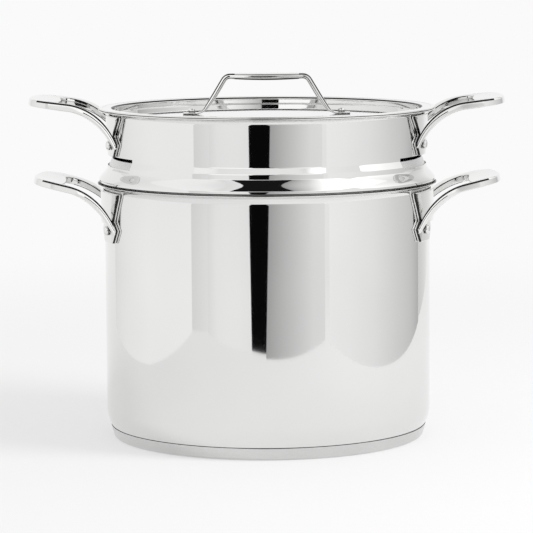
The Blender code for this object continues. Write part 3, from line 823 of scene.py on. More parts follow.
def rounded(corners: Array, radius: float, steps: int = 4) -> Array:
    """Path with an arc of a radius in each inner corner.

    Args:
        corners: Points in a plane.
        radius: Radius of the arcs.
        steps: Chords in each arc.

    Returns:
        The first point, the arcs, each about the point where both sides are a radius away, and
        the last point.
    """
    parts = [corners[:1]]
    for before, at, after in zip(corners[:-2], corners[1:-1], corners[2:]):
        back = (before - at) / np.linalg.norm(before - at)
        ahead = (after - at) / np.linalg.norm(after - at)
        half = 0.5 * math.acos(float(np.clip(back @ ahead, -1, 1)))
        cut = radius / math.tan(half)
        centre = at + (back + ahead) / np.linalg.norm(back + ahead) * (radius / math.sin(half))
        first, last = at + back * cut - centre, at + ahead * cut - centre
        turn = math.atan2(first[0] * last[1] - first[1] * last[0], float(first @ last))
        angles = turn * np.linspace(0, 1, steps + 1)
        cosine, sine = np.cos(angles), np.sin(angles)
        parts.append(centre + pairs(first[0] * cosine - first[1] * sine, first[0] * sine + first[1] * cosine))
    return np.vstack(parts + [corners[-1:]])


def with_levels(path: Array, levels: Array) -> Array:
    """Adds the points where a falling path crosses some heights, by straight interpolation.

    Args:
        path: Points (r, z).
        levels: Heights. One that the path already has a point at is left out.

    Returns:
        The path with the new points, none of them twice.
    """
    for level in levels:
        if np.abs(path[:, 1] - level).min() < WELD:
            continue
        after = len(path) - int(np.argmax(path[::-1, 1] > level))
        start, end = path[after - 1], path[after]
        point = blend(start, end, (level - start[1]) / (end[1] - start[1]))
        path = np.insert(path, after, point, axis=0)
    return path


def slot_turns(half: float) -> Array:
    """Turns round the collar in even steps, with the four slot ends in place of the nearest.

    Args:
        half: Half the turn that a slot spans.

    Returns:
        The turns, rising from 0.
    """
    even = even_turns(ROUND_STEPS)
    ends = np.remainder(np.array([half, math.pi - half, math.pi + half, -half]), math.tau)
    even[np.argmin(np.abs(even[None] - ends[:, None]), axis=1)] = ends
    return even


def sheet_edge(start: Array, end: Array, outward: Array) -> Array:
    """Half-round free edge of a sheet with both of its corners."""
    return np.vstack([start[None], half_round(start, end, outward), end[None]])


def run_of(columns: Array, count: int) -> Array:
    """Grid lines on both sides of a run of neighbouring columns.

    Args:
        columns: Numbers of the columns, rising. The run may pass the seam.
        count: Number of columns in the whole grid.

    Returns:
        Numbers of the lines along the run.
    """
    gaps = np.flatnonzero(np.diff(columns) > 1)
    if len(gaps):
        columns = np.roll(columns, -(gaps[0] + 1))
    return np.append(columns, (columns[-1] + 1) % count)


@dataclass
class Basket:
    """Perforated cup of the insert, with staggered rows of round holes and a drained floor."""

    shop: Workshop
    collar: Collar
    wall: float = 0.0008
    top_margin: float = 0.0022
    neck_rise: float = 0.0075
    neck_run: float = 0.0030
    neck_power: float = 1.4
    floor_z: float = 0.0320
    taper: float = 0.0020
    corner: float = 0.0180
    crease: float = 0.0006
    hole_radius: float = 0.0030
    hole_swell: float = 1.35
    hole_band: float = 0.0315
    rows: int = 9
    columns: int = 48
    cell_sides: int = 4
    floor_rings: int = 6
    floor_pitch: float = 0.0165

    def __post_init__(self) -> None:
        """Levels and radii that follow from the sizes."""
        self.radius = self.collar.basket_radius
        self.top = self.collar.slot_low - self.top_margin
        self.holes_top = self.top - self.hole_band
        self.foot = self.radius - self.taper
        self.knee_z = self.floor_z + self.corner
        self.turns = even_turns(self.columns * self.cell_sides)

    def wall_point(self, turn: Array, z: Array, depth: float) -> Array:
        """Points of the tapered wall at turns and heights, at a depth behind its outer side."""
        share = (self.top - z) / (self.top - self.knee_z)
        return polar(blend(self.radius, self.foot, share) - depth, turn, z)

    def pierce_wall(self, solid: Solid) -> None:
        """Adds both sides of every pierced cell and the wall of its hole.

        A cell is a ring of quads from its square border to its round hole, at the same angles.

        Args:
            solid: Solid that takes the cells.
        """
        pitch_z = (self.holes_top - self.knee_z) / self.rows
        pitch_turn = math.tau / self.columns
        side = np.linspace(-1, 1, self.cell_sides, endpoint=False)
        one = np.ones_like(side)
        u = np.concatenate([side, one, -side, -one])
        v = np.concatenate([-one, side, one, -side])
        angle = np.arctan2(v, u)
        rows, columns = np.meshgrid(np.arange(self.rows), np.arange(self.columns), indexing="ij")
        turn = ((columns + 0.5 * (rows % 2)) * pitch_turn)[..., None]
        height = (self.holes_top - (rows + 0.5) * pitch_z)[..., None]
        across = self.hole_radius / self.radius
        rings = [(turn + 0.5 * pitch_turn * u, height + 0.5 * pitch_z * v)]
        for swell in (self.hole_swell, 1.0):
            rise = self.hole_radius * swell * np.sin(angle)
            rings.append((turn + across * swell * np.cos(angle), height + rise))
        outer = [self.wall_point(t, z, 0.0) for t, z in rings]
        inner = [self.wall_point(t, z, self.wall) for t, z in rings]
        grid = np.stack(outer + inner[::-1], axis=2)
        for cell in grid.reshape(-1, *grid.shape[2:]):
            solid.grid(cell)

    def floor_holes(self) -> Array:
        """Middles of the floor's holes: one in the centre and rings of six more each time."""
        rings = [ring(i * self.floor_pitch, even_turns(6 * i)) for i in range(1, self.floor_rings)]
        return np.vstack([np.zeros((1, 2)), *rings])

    def floor(self, solid: Solid, edge: float) -> None:
        """Adds the pierced floor on both of its sides, and its hole walls.

        Args:
            solid: Solid that takes the floor.
            edge: Radius of the floor's edge.
        """
        rim = ring(edge, self.turns)
        middles = self.floor_holes()
        sides = 4 * self.cell_sides
        holes = middles[:, None] + ring(self.hole_radius, even_turns(sides))[None]
        flat = np.vstack([rim, holes.reshape(-1, 2)])
        loops = [np.arange(len(rim)), *(len(rim) + np.arange(holes.size // 2).reshape(len(holes), -1))]
        edges = np.vstack([pairs(loop, np.roll(loop, -1)) for loop in loops])
        found = geometry.delaunay_2d_cdt([Vector(p) for p in flat], edges.tolist(), [], 0, TINY)
        points, faces = np.array([tuple(p) for p in found[0]]), np.array([list(f) for f in found[2]])
        centres = points[faces].mean(axis=1)
        near = np.linalg.norm(centres[:, None] - middles[None], axis=2).min(axis=1)
        faces = faces[near > self.hole_radius * math.cos(math.pi / sides)]
        for level, order in ((self.floor_z, faces[:, ::-1]), (self.floor_z + self.wall, faces)):
            solid.add(np.column_stack([points, np.full(len(points), level)]), order)
        for hole in holes:
            low = np.column_stack([hole, np.full(len(hole), self.floor_z)])
            solid.grid(np.stack([low, low + np.array([0, 0, self.wall])]))

    def build(self) -> None:
        """Adds the basket as one closed sheet, whose neck draws in behind the slots."""
        solid = Solid()
        high, top, crease = self.holes_top, self.top, self.crease
        z = np.array([[top], [top - crease], [0.5 * (top + high)], [high + crease], [high]])
        share = np.array([1.0, 0.8, 0.6, 0.4, 0.2])
        neck = pairs(self.radius - self.neck_run * share**self.neck_power, top + self.neck_rise * share)
        neck_back = neck - [self.wall, 0.0]
        solid.grid(np.vstack([around(neck, self.turns), self.wall_point(self.turns, z, 0.0)]))
        back = np.vstack([around(neck_back, self.turns), self.wall_point(self.turns, z, self.wall)])
        solid.grid(back[::-1])
        solid.grid(around(sheet_edge(neck_back[0], neck[0], np.array([0.0, 1.0])), self.turns))
        self.pierce_wall(solid)
        centre = (self.foot - self.corner, self.knee_z)
        solid.grid(around(arc(centre, self.corner, 0, -90), self.turns))
        solid.grid(around(arc(centre, self.corner - self.wall, 0, -90)[::-1], self.turns))
        self.floor(solid, centre[0])
        mesh = solid.mesh("insert_basket_cup", 50.0)
        self.shop.piece("insert_basket_cup", mesh, Body.INSERT, (SATIN,), "insert_basket")


# Loop handles


@dataclass(frozen=True)
class LoopSizes:
    """One cast loop handle. Pairs are a drop below the rim and a turn in degrees round the pot."""

    reach: float
    tip_rise: float
    tab_slope: float
    leg_slope: float
    bend: float
    bend_swell: float
    tab_width: float
    leg: Pair
    top: Pair
    waist: Pair
    pad: Pair
    foot: Pair
    rivet: Pair
    tab_thickness: float = 0.0056
    leg_thickness: float = 0.0026
    tab_corner: float = 0.0150
    tab_depth: float = 0.0255
    tab_depth_side: float = 0.0195
    arm_width: float = 0.0105
    leg_width: float = 0.0034
    plate_thickness: float = 0.0028


POT_LOOP = LoopSizes(
    reach=0.0566, tip_rise=0.0060, tab_slope=14.0, leg_slope=74.0, bend=0.0420, bend_swell=0.0014,
    tab_width=0.0920, leg=(0.0370, 27.4), top=(0.0049, 30.0), waist=(0.0278, 24.9), pad=(0.0347, 28.0),
    foot=(0.0452, 25.0), rivet=(0.0356, 20.2),
)
INSERT_LOOP = LoopSizes(
    reach=0.0653, tip_rise=0.0100, tab_slope=7.0, leg_slope=72.0, bend=0.0440, bend_swell=0.0018,
    tab_width=0.0880, leg=(0.0288, 23.2), top=(0.0038, 26.0), waist=(0.0195, 20.0), pad=(0.0264, 23.7),
    foot=(0.0361, 20.4), rivet=(0.0272, 16.4),
)


@dataclass
class LoopHandle:
    """Cast loop handle: a plate on the wall, two legs that rise from it, arms and a solid tab."""

    shop: Workshop
    sizes: LoopSizes
    vessel: Pot | Collar
    rim_z: float
    body: Body
    root_sink: float = 0.25
    arm_steps: int = 40
    corner_steps: int = 12
    tab_steps: int = 12
    plate_steps: int = 6
    leg_columns: int = 8
    web_columns: int = 24
    spread_ease: Pair = (1.1, 1.15)
    width_ease: Pair = (1.4, 1.4)
    bay_start: float = 0.2
    top_round: Pair = (0.0014, 0.0016)
    edge_round: float = 0.0008
    full_width: float = 0.0080
    least_round: float = 0.3
    side_parts: Pair = (0.42, 0.62)
    round_rows: int = 4
    bay_rows: tuple[int, ...] = (8, 9, 11)
    painted_shade_from: float = 0.0040
    sharp: float = 32.0
    chamfer: float = 0.0014
    plate_round: float = 0.0006

    def __post_init__(self) -> None:
        """Runs of the upper side that follow from the sizes."""
        s = self.sizes
        self.radius = self.vessel.radius
        self.root_off = CLEARANCE + self.root_sink * s.plate_thickness
        a, b = math.radians(s.tab_slope), math.radians(s.leg_slope)
        out = s.reach - self.root_off - s.bend * (math.sin(b) - math.sin(a))
        down = s.tip_rise + s.leg[0] - s.bend * (math.cos(a) - math.cos(b))
        self.tab_run = (out * math.sin(b) - down * math.cos(b)) / math.sin(b - a)
        self.leg_run = (down * math.cos(a) - out * math.sin(a)) / math.sin(b - a)
        self.bend_run = s.bend * (b - a)
        self.length = self.tab_run + self.bend_run + self.leg_run

    def bar_points(self, y: Array, run: Array, depth: Array) -> Array:
        """Points of the bar at a width, a run from the tip and a depth below its upper side.

        The upper side falls at the tab's slope, bends on a circle and falls on at the leg's slope.

        Args:
            y: Widths from the middle of the tab.
            run: Runs from the tip along the upper side.
            depth: Depths at right angles to the upper side.

        Returns:
            Points of the right-hand loop.
        """
        s = self.sizes
        start = math.radians(s.tab_slope)
        slope = start + np.clip(run - self.tab_run, 0.0, self.bend_run) / s.bend
        before = np.minimum(run, self.tab_run)
        after = np.maximum(run - self.tab_run - self.bend_run, 0.0)
        off = s.reach - before * math.cos(start) - after * np.cos(slope)
        off = off - s.bend * (np.sin(slope) - math.sin(start)) + depth * np.sin(slope)
        z = s.tip_rise - before * math.sin(start) - after * np.sin(slope)
        z = z - s.bend * (math.cos(start) - np.cos(slope)) - depth * np.cos(slope)
        return np.stack([np.sqrt(self.radius**2 - y**2) + off, y, self.rim_z + z], axis=-1)

    def borders(self) -> tuple[Array, ...]:
        """Outer and inner borders of the whole loop as (y, run), from foot to foot.

        The arms narrow smoothly to the legs, the corners are quarter ellipses and the bay of the
        tab is a shallow arch.

        Returns:
            The outer border and the inner one.
        """
        s = self.sizes
        root = self.radius * math.sin(math.radians(s.leg[1]))
        half = 0.5 * s.tab_width
        inner_half, inner_corner = half - s.arm_width, 0.5 * s.arm_width
        start = s.tab_depth_side + inner_corner
        share = np.linspace(0, 1, self.arm_steps)
        run = blend(self.length, start, share)
        y = blend(root, half, eased(share, *self.spread_ease))
        width = blend(s.leg_width, s.arm_width, eased(share, *self.width_ease))
        a = np.linspace(0, 0.5 * math.pi, self.corner_steps + 1)[1:]
        aside, ahead = 1 - np.cos(a), np.sin(a)
        bridge = np.linspace(1, 0, self.tab_steps + 1)[1:]
        outer = [
            pairs(y, run),
            pairs(half - s.tab_corner * aside, s.tab_corner * (1 - ahead)),
            pairs(bridge * (half - s.tab_corner), 0 * bridge),
        ]
        inner = [
            pairs(y - width, run),
            pairs(inner_half - inner_corner * aside, start - inner_corner * blend(self.bay_start, 1, ahead)),
            pairs(bridge * (inner_half - inner_corner), blend(s.tab_depth, s.tab_depth_side, bridge**2)),
        ]
        lines = (np.vstack(outer), np.vstack(inner))
        return tuple(np.vstack([line, line[-2::-1] * [-1, 1]]) for line in lines)

    def bar(self, name: str) -> Mesh:
        """Legs, arms and tab as one bar.

        Its section is a rectangle with an elliptic round on the upper outer edge and small rounds
        on the others. Painted shade covers the upper round, the legs' outer sides and the arms' inner edges.

        Args:
            name: Name of the mesh.

        Returns:
            The bar's mesh.
        """
        s = self.sizes
        outer, inner = self.borders()
        across = inner - outer
        width = np.linalg.norm(across, axis=1, keepdims=True)
        across = across / width
        share = np.minimum(outer[:, 1:] / self.length, 1.0)
        thick = blend(s.tab_thickness, s.leg_thickness, share) + s.bend_swell * 4 * share * (1 - share)
        tightness = np.clip(width / self.full_width, self.least_round, 1.0)
        wide, deep = self.top_round[0] * tightness, self.top_round[1] * tightness
        b = self.edge_round * tightness
        turns = np.radians(np.arange(0.0, 91.0, 15.0))
        section = [(wide * (1 - math.cos(t)), deep * (1 - math.sin(t))) for t in turns]
        section += [(width - b + b * math.sin(t), b * (1 - math.cos(t))) for t in turns[::2]]
        section += [(width - b + b * math.cos(t), thick - b + b * math.sin(t)) for t in turns[::2]]
        section += [(b - b * math.sin(t), thick - b + b * math.cos(t)) for t in turns[::2]]
        section += [(0 * b, blend(thick - b, deep, part)) for part in self.side_parts]
        lateral = np.stack([p[0] for p in section], axis=1)
        depth = np.stack([p[1] for p in section], axis=1)[..., 0]
        flat = outer[:, None] + across[:, None] * lateral
        # Painted shade: dark lines on the upper round, the lower outer side of the legs and the inner edges
        # of the arms.
        order = np.arange(len(section))
        on_round = (order < self.round_rows) & (outer[:-1, 1:] > self.painted_shade_from)
        on_side = (order == len(section) - 2) & (share[:-1] > 0.5)
        on_bay = np.isin(order, self.bay_rows) & (inner[:-1, 1:] > s.tab_depth)
        stations = self.bar_points(flat[..., 0], flat[..., 1], depth)
        return lofted(stations, (on_round | on_side | on_bay).astype(int)).mesh(name, self.sharp)

    def plate(self, name: str) -> Mesh:
        """Plate that hugs the wall: a web between two legs, each with a pad, open below the arch.

        A chamfer with painted shade runs down both sides.

        Args:
            name: Name of the mesh.

        Returns:
            The plate's mesh, with rounded edges.
        """
        s, a = self.sizes, self.leg_columns
        b = a + self.web_columns
        end = b + a
        corners = np.array([s.top, s.waist, s.pad, s.foot])
        share = np.linspace(0, 1, self.plate_steps + 1)[:, None]
        outline = np.vstack([corners[:1]] + [blend(p, q, share)[1:] for p, q in zip(corners, corners[1:])])
        last, arch = len(outline) - 1, int(1.5 * self.plate_steps)
        inner_turn = 2 * s.rivet[1] - outline[np.maximum(np.arange(last + 1), arch), 1:]
        edge = outline[:, 1:] - math.degrees(self.chamfer / self.radius)
        leg = np.hstack([blend(inner_turn, edge, np.linspace(0, 1, a)[None]), outline[:, 1:]])
        web = inner_turn * np.linspace(-1, 1, self.web_columns + 1)[None, 1:-1]
        turns = np.radians(np.hstack([-leg[:, ::-1], web, leg]))
        z = self.rim_z - outline[:, :1]
        back = self.vessel.outside(z) + CLEARANCE
        front = back + s.plate_thickness - self.chamfer * np.isin(np.arange(end + 1), (0, end))
        keep = np.ones((last, end), bool)
        keep[arch:, a:b] = False
        layers = [polar(r, turns, z) for r in (front, back)]
        # Both side chamfers get painted shade.
        chamfers = np.isin(np.arange(end), (0, end - 1))[None].astype(int)
        solid = Solid()
        solid.grid(layers[0], wrap=False, keep=keep, finish=chamfers)
        solid.grid(layers[1][:, ::-1], wrap=False, keep=keep[:, ::-1])
        knots = [(0, 0), (last, 0), (last, a), (arch, a), (arch, b), (last, b), (last, end), (0, end), (0, 0)]
        walk = [np.linspace(p, q, abs(sum(q) - sum(p)), endpoint=False) for p, q in zip(knots, knots[1:])]
        i, j = np.rint(np.vstack(walk)).astype(int).T
        solid.grid(np.stack([layers[0][i, j], layers[1][i, j]]))
        return bevelled(solid.mesh(name), self.plate_round)

    def rivet_frame(self, turn: float) -> Matrix:
        """Frame on the plate's outer face whose Z points out through the rivet's head.

        Args:
            turn: Turn of the rivet about the pot's axis.

        Returns:
            The frame as a matrix.
        """
        out = self.radius + CLEARANCE + self.sizes.plate_thickness
        place = Matrix.Translation((out, 0, self.rim_z - self.sizes.rivet[0]))
        return Matrix.Rotation(turn, 4, "Z") @ place @ Matrix.Rotation(math.pi / 2, 4, "Y")

    def build(self) -> None:
        """Adds both handles of the vessel and their rivets."""
        prefix, dress = self.body.value, (CAST, PAINTED_EDGE_SHADE)
        lean = math.radians(self.sizes.rivet[1])
        grip = self.sizes.plate_thickness + CLEARANCE + self.vessel.wall
        for side, ends in ((Side.RIGHT, ("front", "back")), (Side.LEFT, ("back", "front"))):
            word = side.name.lower()
            name = f"{prefix}_loop_{word}"
            mesh = joined(name, [self.plate(name), self.bar(name)])
            moved(mesh, Matrix.Rotation(side.value, 4, "Z"))
            self.shop.piece(name, mesh, self.body, dress, f"{prefix}_handle_{word}")
            for end, turn in zip(ends, (-lean, lean)):
                rivet = moved(Rivet(grip).mesh("rivet"), self.rivet_frame(side.value + turn))
                stud, node = (f"{prefix}_{kind}_{word}_{end}" for kind in ("stud", "rivet"))
                self.shop.piece(stud, rivet, self.body, dress, node)


def bevelled(mesh: Mesh, width: float, segments: int = 3, angle: float = 50.0) -> Mesh:
    """Rounds the sharp edges of a mesh with a Bevel modifier, applied.

    Args:
        mesh: Mesh that is used up.
        width: Width of the rounds.
        segments: Faces across each round, all with the first finish.
        angle: Angle in degrees from which an edge is rounded.

    Returns:
        The new mesh.
    """
    obj = placed("bevel_bench", mesh)
    modifier = obj.modifiers.new("edges", "BEVEL")
    modifier.width = width
    modifier.segments = segments
    modifier.limit_method = "ANGLE"
    modifier.angle_limit = math.radians(angle)
    modifier.material = 0
    bpy.context.view_layer.update()
    result = bpy.data.meshes.new_from_object(obj.evaluated_get(bpy.context.evaluated_depsgraph_get()))
    bpy.data.objects.remove(obj)
    bpy.data.meshes.remove(mesh)
    return result


@dataclass
class Rivet:
    """Rivet along +Z with a domed head above z = 0 and a flat tail under its grip."""

    grip: float
    head: float = 0.0037
    dome: float = 0.0033
    dome_power: float = 0.75
    dome_parts: Pair = (0.35, 0.65)
    dome_steps: int = 10
    # Height of the head's short side, which carries painted shade as a dark ring at its foot.
    shade: float = 0.0007
    shank: float = 0.0025
    tail: float = 0.0041
    tail_height: float = 0.0013
    soft: float = 0.0003
    steps: int = 40

    def mesh(self, name: str) -> Mesh:
        """Turned mesh: a superellipse over a short side with painted shade, the shank, and a soft-edged tail.

        Args:
            name: Name of the mesh.

        Returns:
            The mesh.
        """
        turns = np.linspace(math.pi / 2, 0, self.dome_steps)
        cap_r = self.head * np.cos(turns) ** self.dome_power
        side, cap = self.dome_parts
        cap_z = CLEARANCE + side * self.dome + cap * self.dome * np.sin(turns)
        cap_r[0] = 0.0
        low = -self.grip - CLEARANCE
        end, inset = low - self.tail_height, self.tail - self.soft
        rest = [
            (self.head, CLEARANCE + self.shade), (self.head, CLEARANCE), (self.shank, CLEARANCE),
            (self.shank, low), (inset, low), (self.tail, low - self.soft),
            (self.tail, end + self.soft), (inset, end), (0.0, end),
        ]
        outline = np.vstack([pairs(cap_r, cap_z), rest])
        # The short side under the dome gets painted shade.
        shaded = (np.arange(len(outline) - 1) == len(cap_r))[:, None]
        return turned(outline, self.steps, close=False, finish=shaded.astype(int)).mesh(name)


# The lid


@dataclass
class Lid:
    """Recessed lid with a thick rim, and the bent strap that is riveted to it."""

    shop: Workshop
    collar: Collar
    wall: float = 0.0009
    rim_thickness: float = 0.0012
    rim_width: float = 0.0046
    panel_z: float = 0.2637
    play: float = 0.0007
    bend: float = 0.0009
    foot_bend: float = 0.0006
    foot_thickness: float = 0.0012
    strap_thickness: float = 0.0046
    strap_width: float = 0.0150
    strap_rise: float = 0.0334
    foot_end: float = 0.0680
    foot_rivet: float = 0.0610
    rivet_head: float = 0.0031
    leg_foot: float = 0.0530
    leg_top: float = 0.0340
    strap_bend: float = 0.0080
    grip_thickness: float = 0.0056
    grip_width: float = 0.0190
    grip_steps: int = 12
    leg_height: float = 0.0080
    section_steps: int = 32
    section_power: float = 0.32
    ridge: float = 0.0004
    ridge_gap: float = 0.00001
    painted_shade_depth: float = 0.0004
    steep: float = 0.4
    painted_shade_part: Pair = (0.40, 0.93)
    leg_lower_part: float = 0.80
    foot_margin: float = 0.0010
    leg_margin: float = 0.0030

    def __post_init__(self) -> None:
        """Levels that follow from the sizes."""
        self.seat_z = self.collar.rim_z + CLEARANCE
        self.top_z = self.seat_z + self.rim_thickness

    def shell(self) -> Mesh:
        """Rim on the lip of the insert, a short wall inside it and a flat panel.

        Where the rim turns down to the wall its upper side has painted shade, as far as it is steep.

        Returns:
            The lid's mesh.
        """
        outside = self.collar.inside - self.play
        back_bend = self.foot_bend + self.wall
        rim = self.collar.rim_radius
        rim_inside = rim - self.rim_width
        edge = 0.5 * self.rim_thickness - self.ridge_gap
        under = np.vstack([
            [[rim_inside, self.seat_z]],
            arc((outside + self.bend, self.seat_z - self.bend), self.bend, 90, 180),
            arc((outside - back_bend, self.panel_z + self.bend), back_bend, 0, -90),
            [[0.0, self.panel_z - self.wall]],
        ])
        sheet = sheet_outline(under, self.wall, rounded_start=False)
        ridge = arc((rim_inside + 2 * edge, self.top_z - self.ridge), self.ridge, 120, 90, 3)
        outer = arc((rim - edge, self.seat_z + edge), edge, 90, -90)
        outline = np.vstack([sheet, ridge, outer])
        # Steep faces on the upper side where the rim turns down get painted shade.
        step = np.abs(np.roll(outline, -1, axis=0) - outline)
        order = np.arange(len(outline))
        shaded = (step[:, 1] > self.steep * step[:, 0]) & (outline[:, 1] > self.seat_z - self.painted_shade_depth)
        shaded &= (order >= len(sheet) // 2) & (order < len(sheet) + len(ridge) - 1)
        return turned(outline, finish=shaded[:, None].astype(int)).mesh("lid_plate")

    def strap(self) -> Mesh:
        """Strap with flat feet, leaning legs and a thick grip that swells below and to the sides.

        Its section is a superellipse, carried along the path at right angles to it. Off the feet its long
        edges carry painted shade: the upper ones on the legs, the lower ones on legs and grip.

        Returns:
            The strap's mesh.
        """
        middle = 0.5 * self.foot_thickness
        foot = self.panel_z + CLEARANCE + middle
        top = self.panel_z + self.strap_rise - middle
        corners = np.array([(-self.foot_end, foot), (-self.leg_foot, foot), (-self.leg_top, top), (0.0, top)])
        half = rounded(corners, self.strap_bend, 8)[:-1]
        grip_end = half[-1, 0]
        line = grip_end * (1 - np.linspace(0, 1, self.grip_steps + 1)[1:])
        half = supported(np.vstack([half, pairs(line, np.full(self.grip_steps, top))]))
        path = np.vstack([half, half[-2::-1] * [-1, 1]])
        ahead = unit(np.gradient(path, axis=0))
        swell = np.clip(1 - (path[:, 0] / grip_end) ** 2, 0, 1)[:, None]
        width = 0.5 * blend(self.strap_width, self.grip_width, swell)
        leg = smooth((path[:, 1:] - foot) / self.leg_height)
        thick = blend(self.foot_thickness, self.strap_thickness, leg)
        low = middle - blend(thick, self.grip_thickness, swell)
        turns = even_turns(self.section_steps)[None]
        cosine, sine = np.cos(turns), np.sin(turns)
        y = width * np.sign(cosine) * np.abs(cosine) ** self.section_power
        centre, reach = 0.5 * (middle + low), 0.5 * (middle - low)
        up = centre + reach * np.sign(sine) * np.abs(sine) ** (2 * self.section_power)
        x = path[:, :1] - ahead[:, 1:] * up
        z = path[:, 1:] + ahead[:, :1] * up
        part = turns + math.pi / self.section_steps
        edge = np.abs(np.cos(part))
        # Painted shade in lines along the long edges, off the feet.
        lifted = path[:-1, 1:] > foot + self.foot_margin
        leg = np.abs(path[:-1, :1]) > abs(grip_end) - self.leg_margin
        near, far = self.painted_shade_part
        above = (np.sin(part) > 0) & (edge > near) & leg
        below = (np.sin(part) < 0) & (edge > np.where(leg, self.leg_lower_part, near))
        shaded = (above | below) & (edge < far) & lifted
        stations = np.stack([x + 0 * y, y, z + 0 * y], axis=-1)
        return lofted(stations, shaded.astype(int)).mesh("lid_grip", 50.0)

    def build(self) -> None:
        """Adds the lid, its strap and the two rivets."""
        dress = (CAST, PAINTED_EDGE_SHADE)
        self.shop.piece("lid_plate", self.shell(), Body.LID, (POLISHED, PAINTED_EDGE_SHADE), "lid_shell")
        self.shop.piece("lid_grip", self.strap(), Body.LID, dress, "lid_handle")
        level = self.panel_z + CLEARANCE + self.foot_thickness
        grip = self.foot_thickness + CLEARANCE + self.wall
        for word, x in (("left", -self.foot_rivet), ("right", self.foot_rivet)):
            stud = moved(Rivet(grip, head=self.rivet_head).mesh("rivet"), Matrix.Translation((x, 0, level)))
            self.shop.piece(f"lid_stud_{word}", stud, Body.LID, dress, f"lid_rivet_{word}")


# The studio


@dataclass(frozen=True)
class Card:
    """Flat card of the light tent, seen only in reflections.

    It is given by its corners in plan, two at a low level and two at a high one. With two corners
    it stands upright. Its brightness runs from the first corner to the second through even stops.
    """

    name: str
    plan: tuple[Pair, ...]
    levels: Pair
    stops: tuple[float, ...]

    def corners(self) -> list[Triple]:
        """The four corners in their order round the card."""
        low, high = self.levels
        return [(*p, low) for p in self.plan[:2]] + [(*p, high) for p in self.plan[2:] or self.plan[::-1]]

    def strength(self, tree: Tree) -> Wire:
        """Brightness over the card, as a sum of ramps along U.

        Args:
            tree: Tree that takes the nodes.

        Returns:
            The wire of the brightness.
        """
        u = tree.axes(tree.node("UVMap", {"uv_map": "card"}, {}))[0]
        total: Any = self.stops[0]
        steps = len(self.stops) - 1
        for i, (low, high) in enumerate(zip(self.stops, self.stops[1:])):
            limits = {"Value": u, "From Min": i / steps, "From Max": (i + 1) / steps}
            total = tree.node("MapRange", {}, limits) * (high - low) + total
        return total

    def build(self) -> None:
        """Adds the card with its brightness."""
        mesh = quad(self.name, self.corners())
        mesh.uv_layers.new(name="card").data.foreach_set("uv", [0, 0, 1, 0, 1, 1, 0, 1])
        obj = placed(self.name, mesh)
        material = bpy.data.materials.new(self.name)
        tree = Tree(material)
        tree.finish(tree.node("Emission", {}, {"Strength": self.strength(tree)}))
        mesh.materials.append(material)
        for kind in ("camera", "diffuse", "shadow", "transmission"):
            setattr(obj, f"visible_{kind}", False)


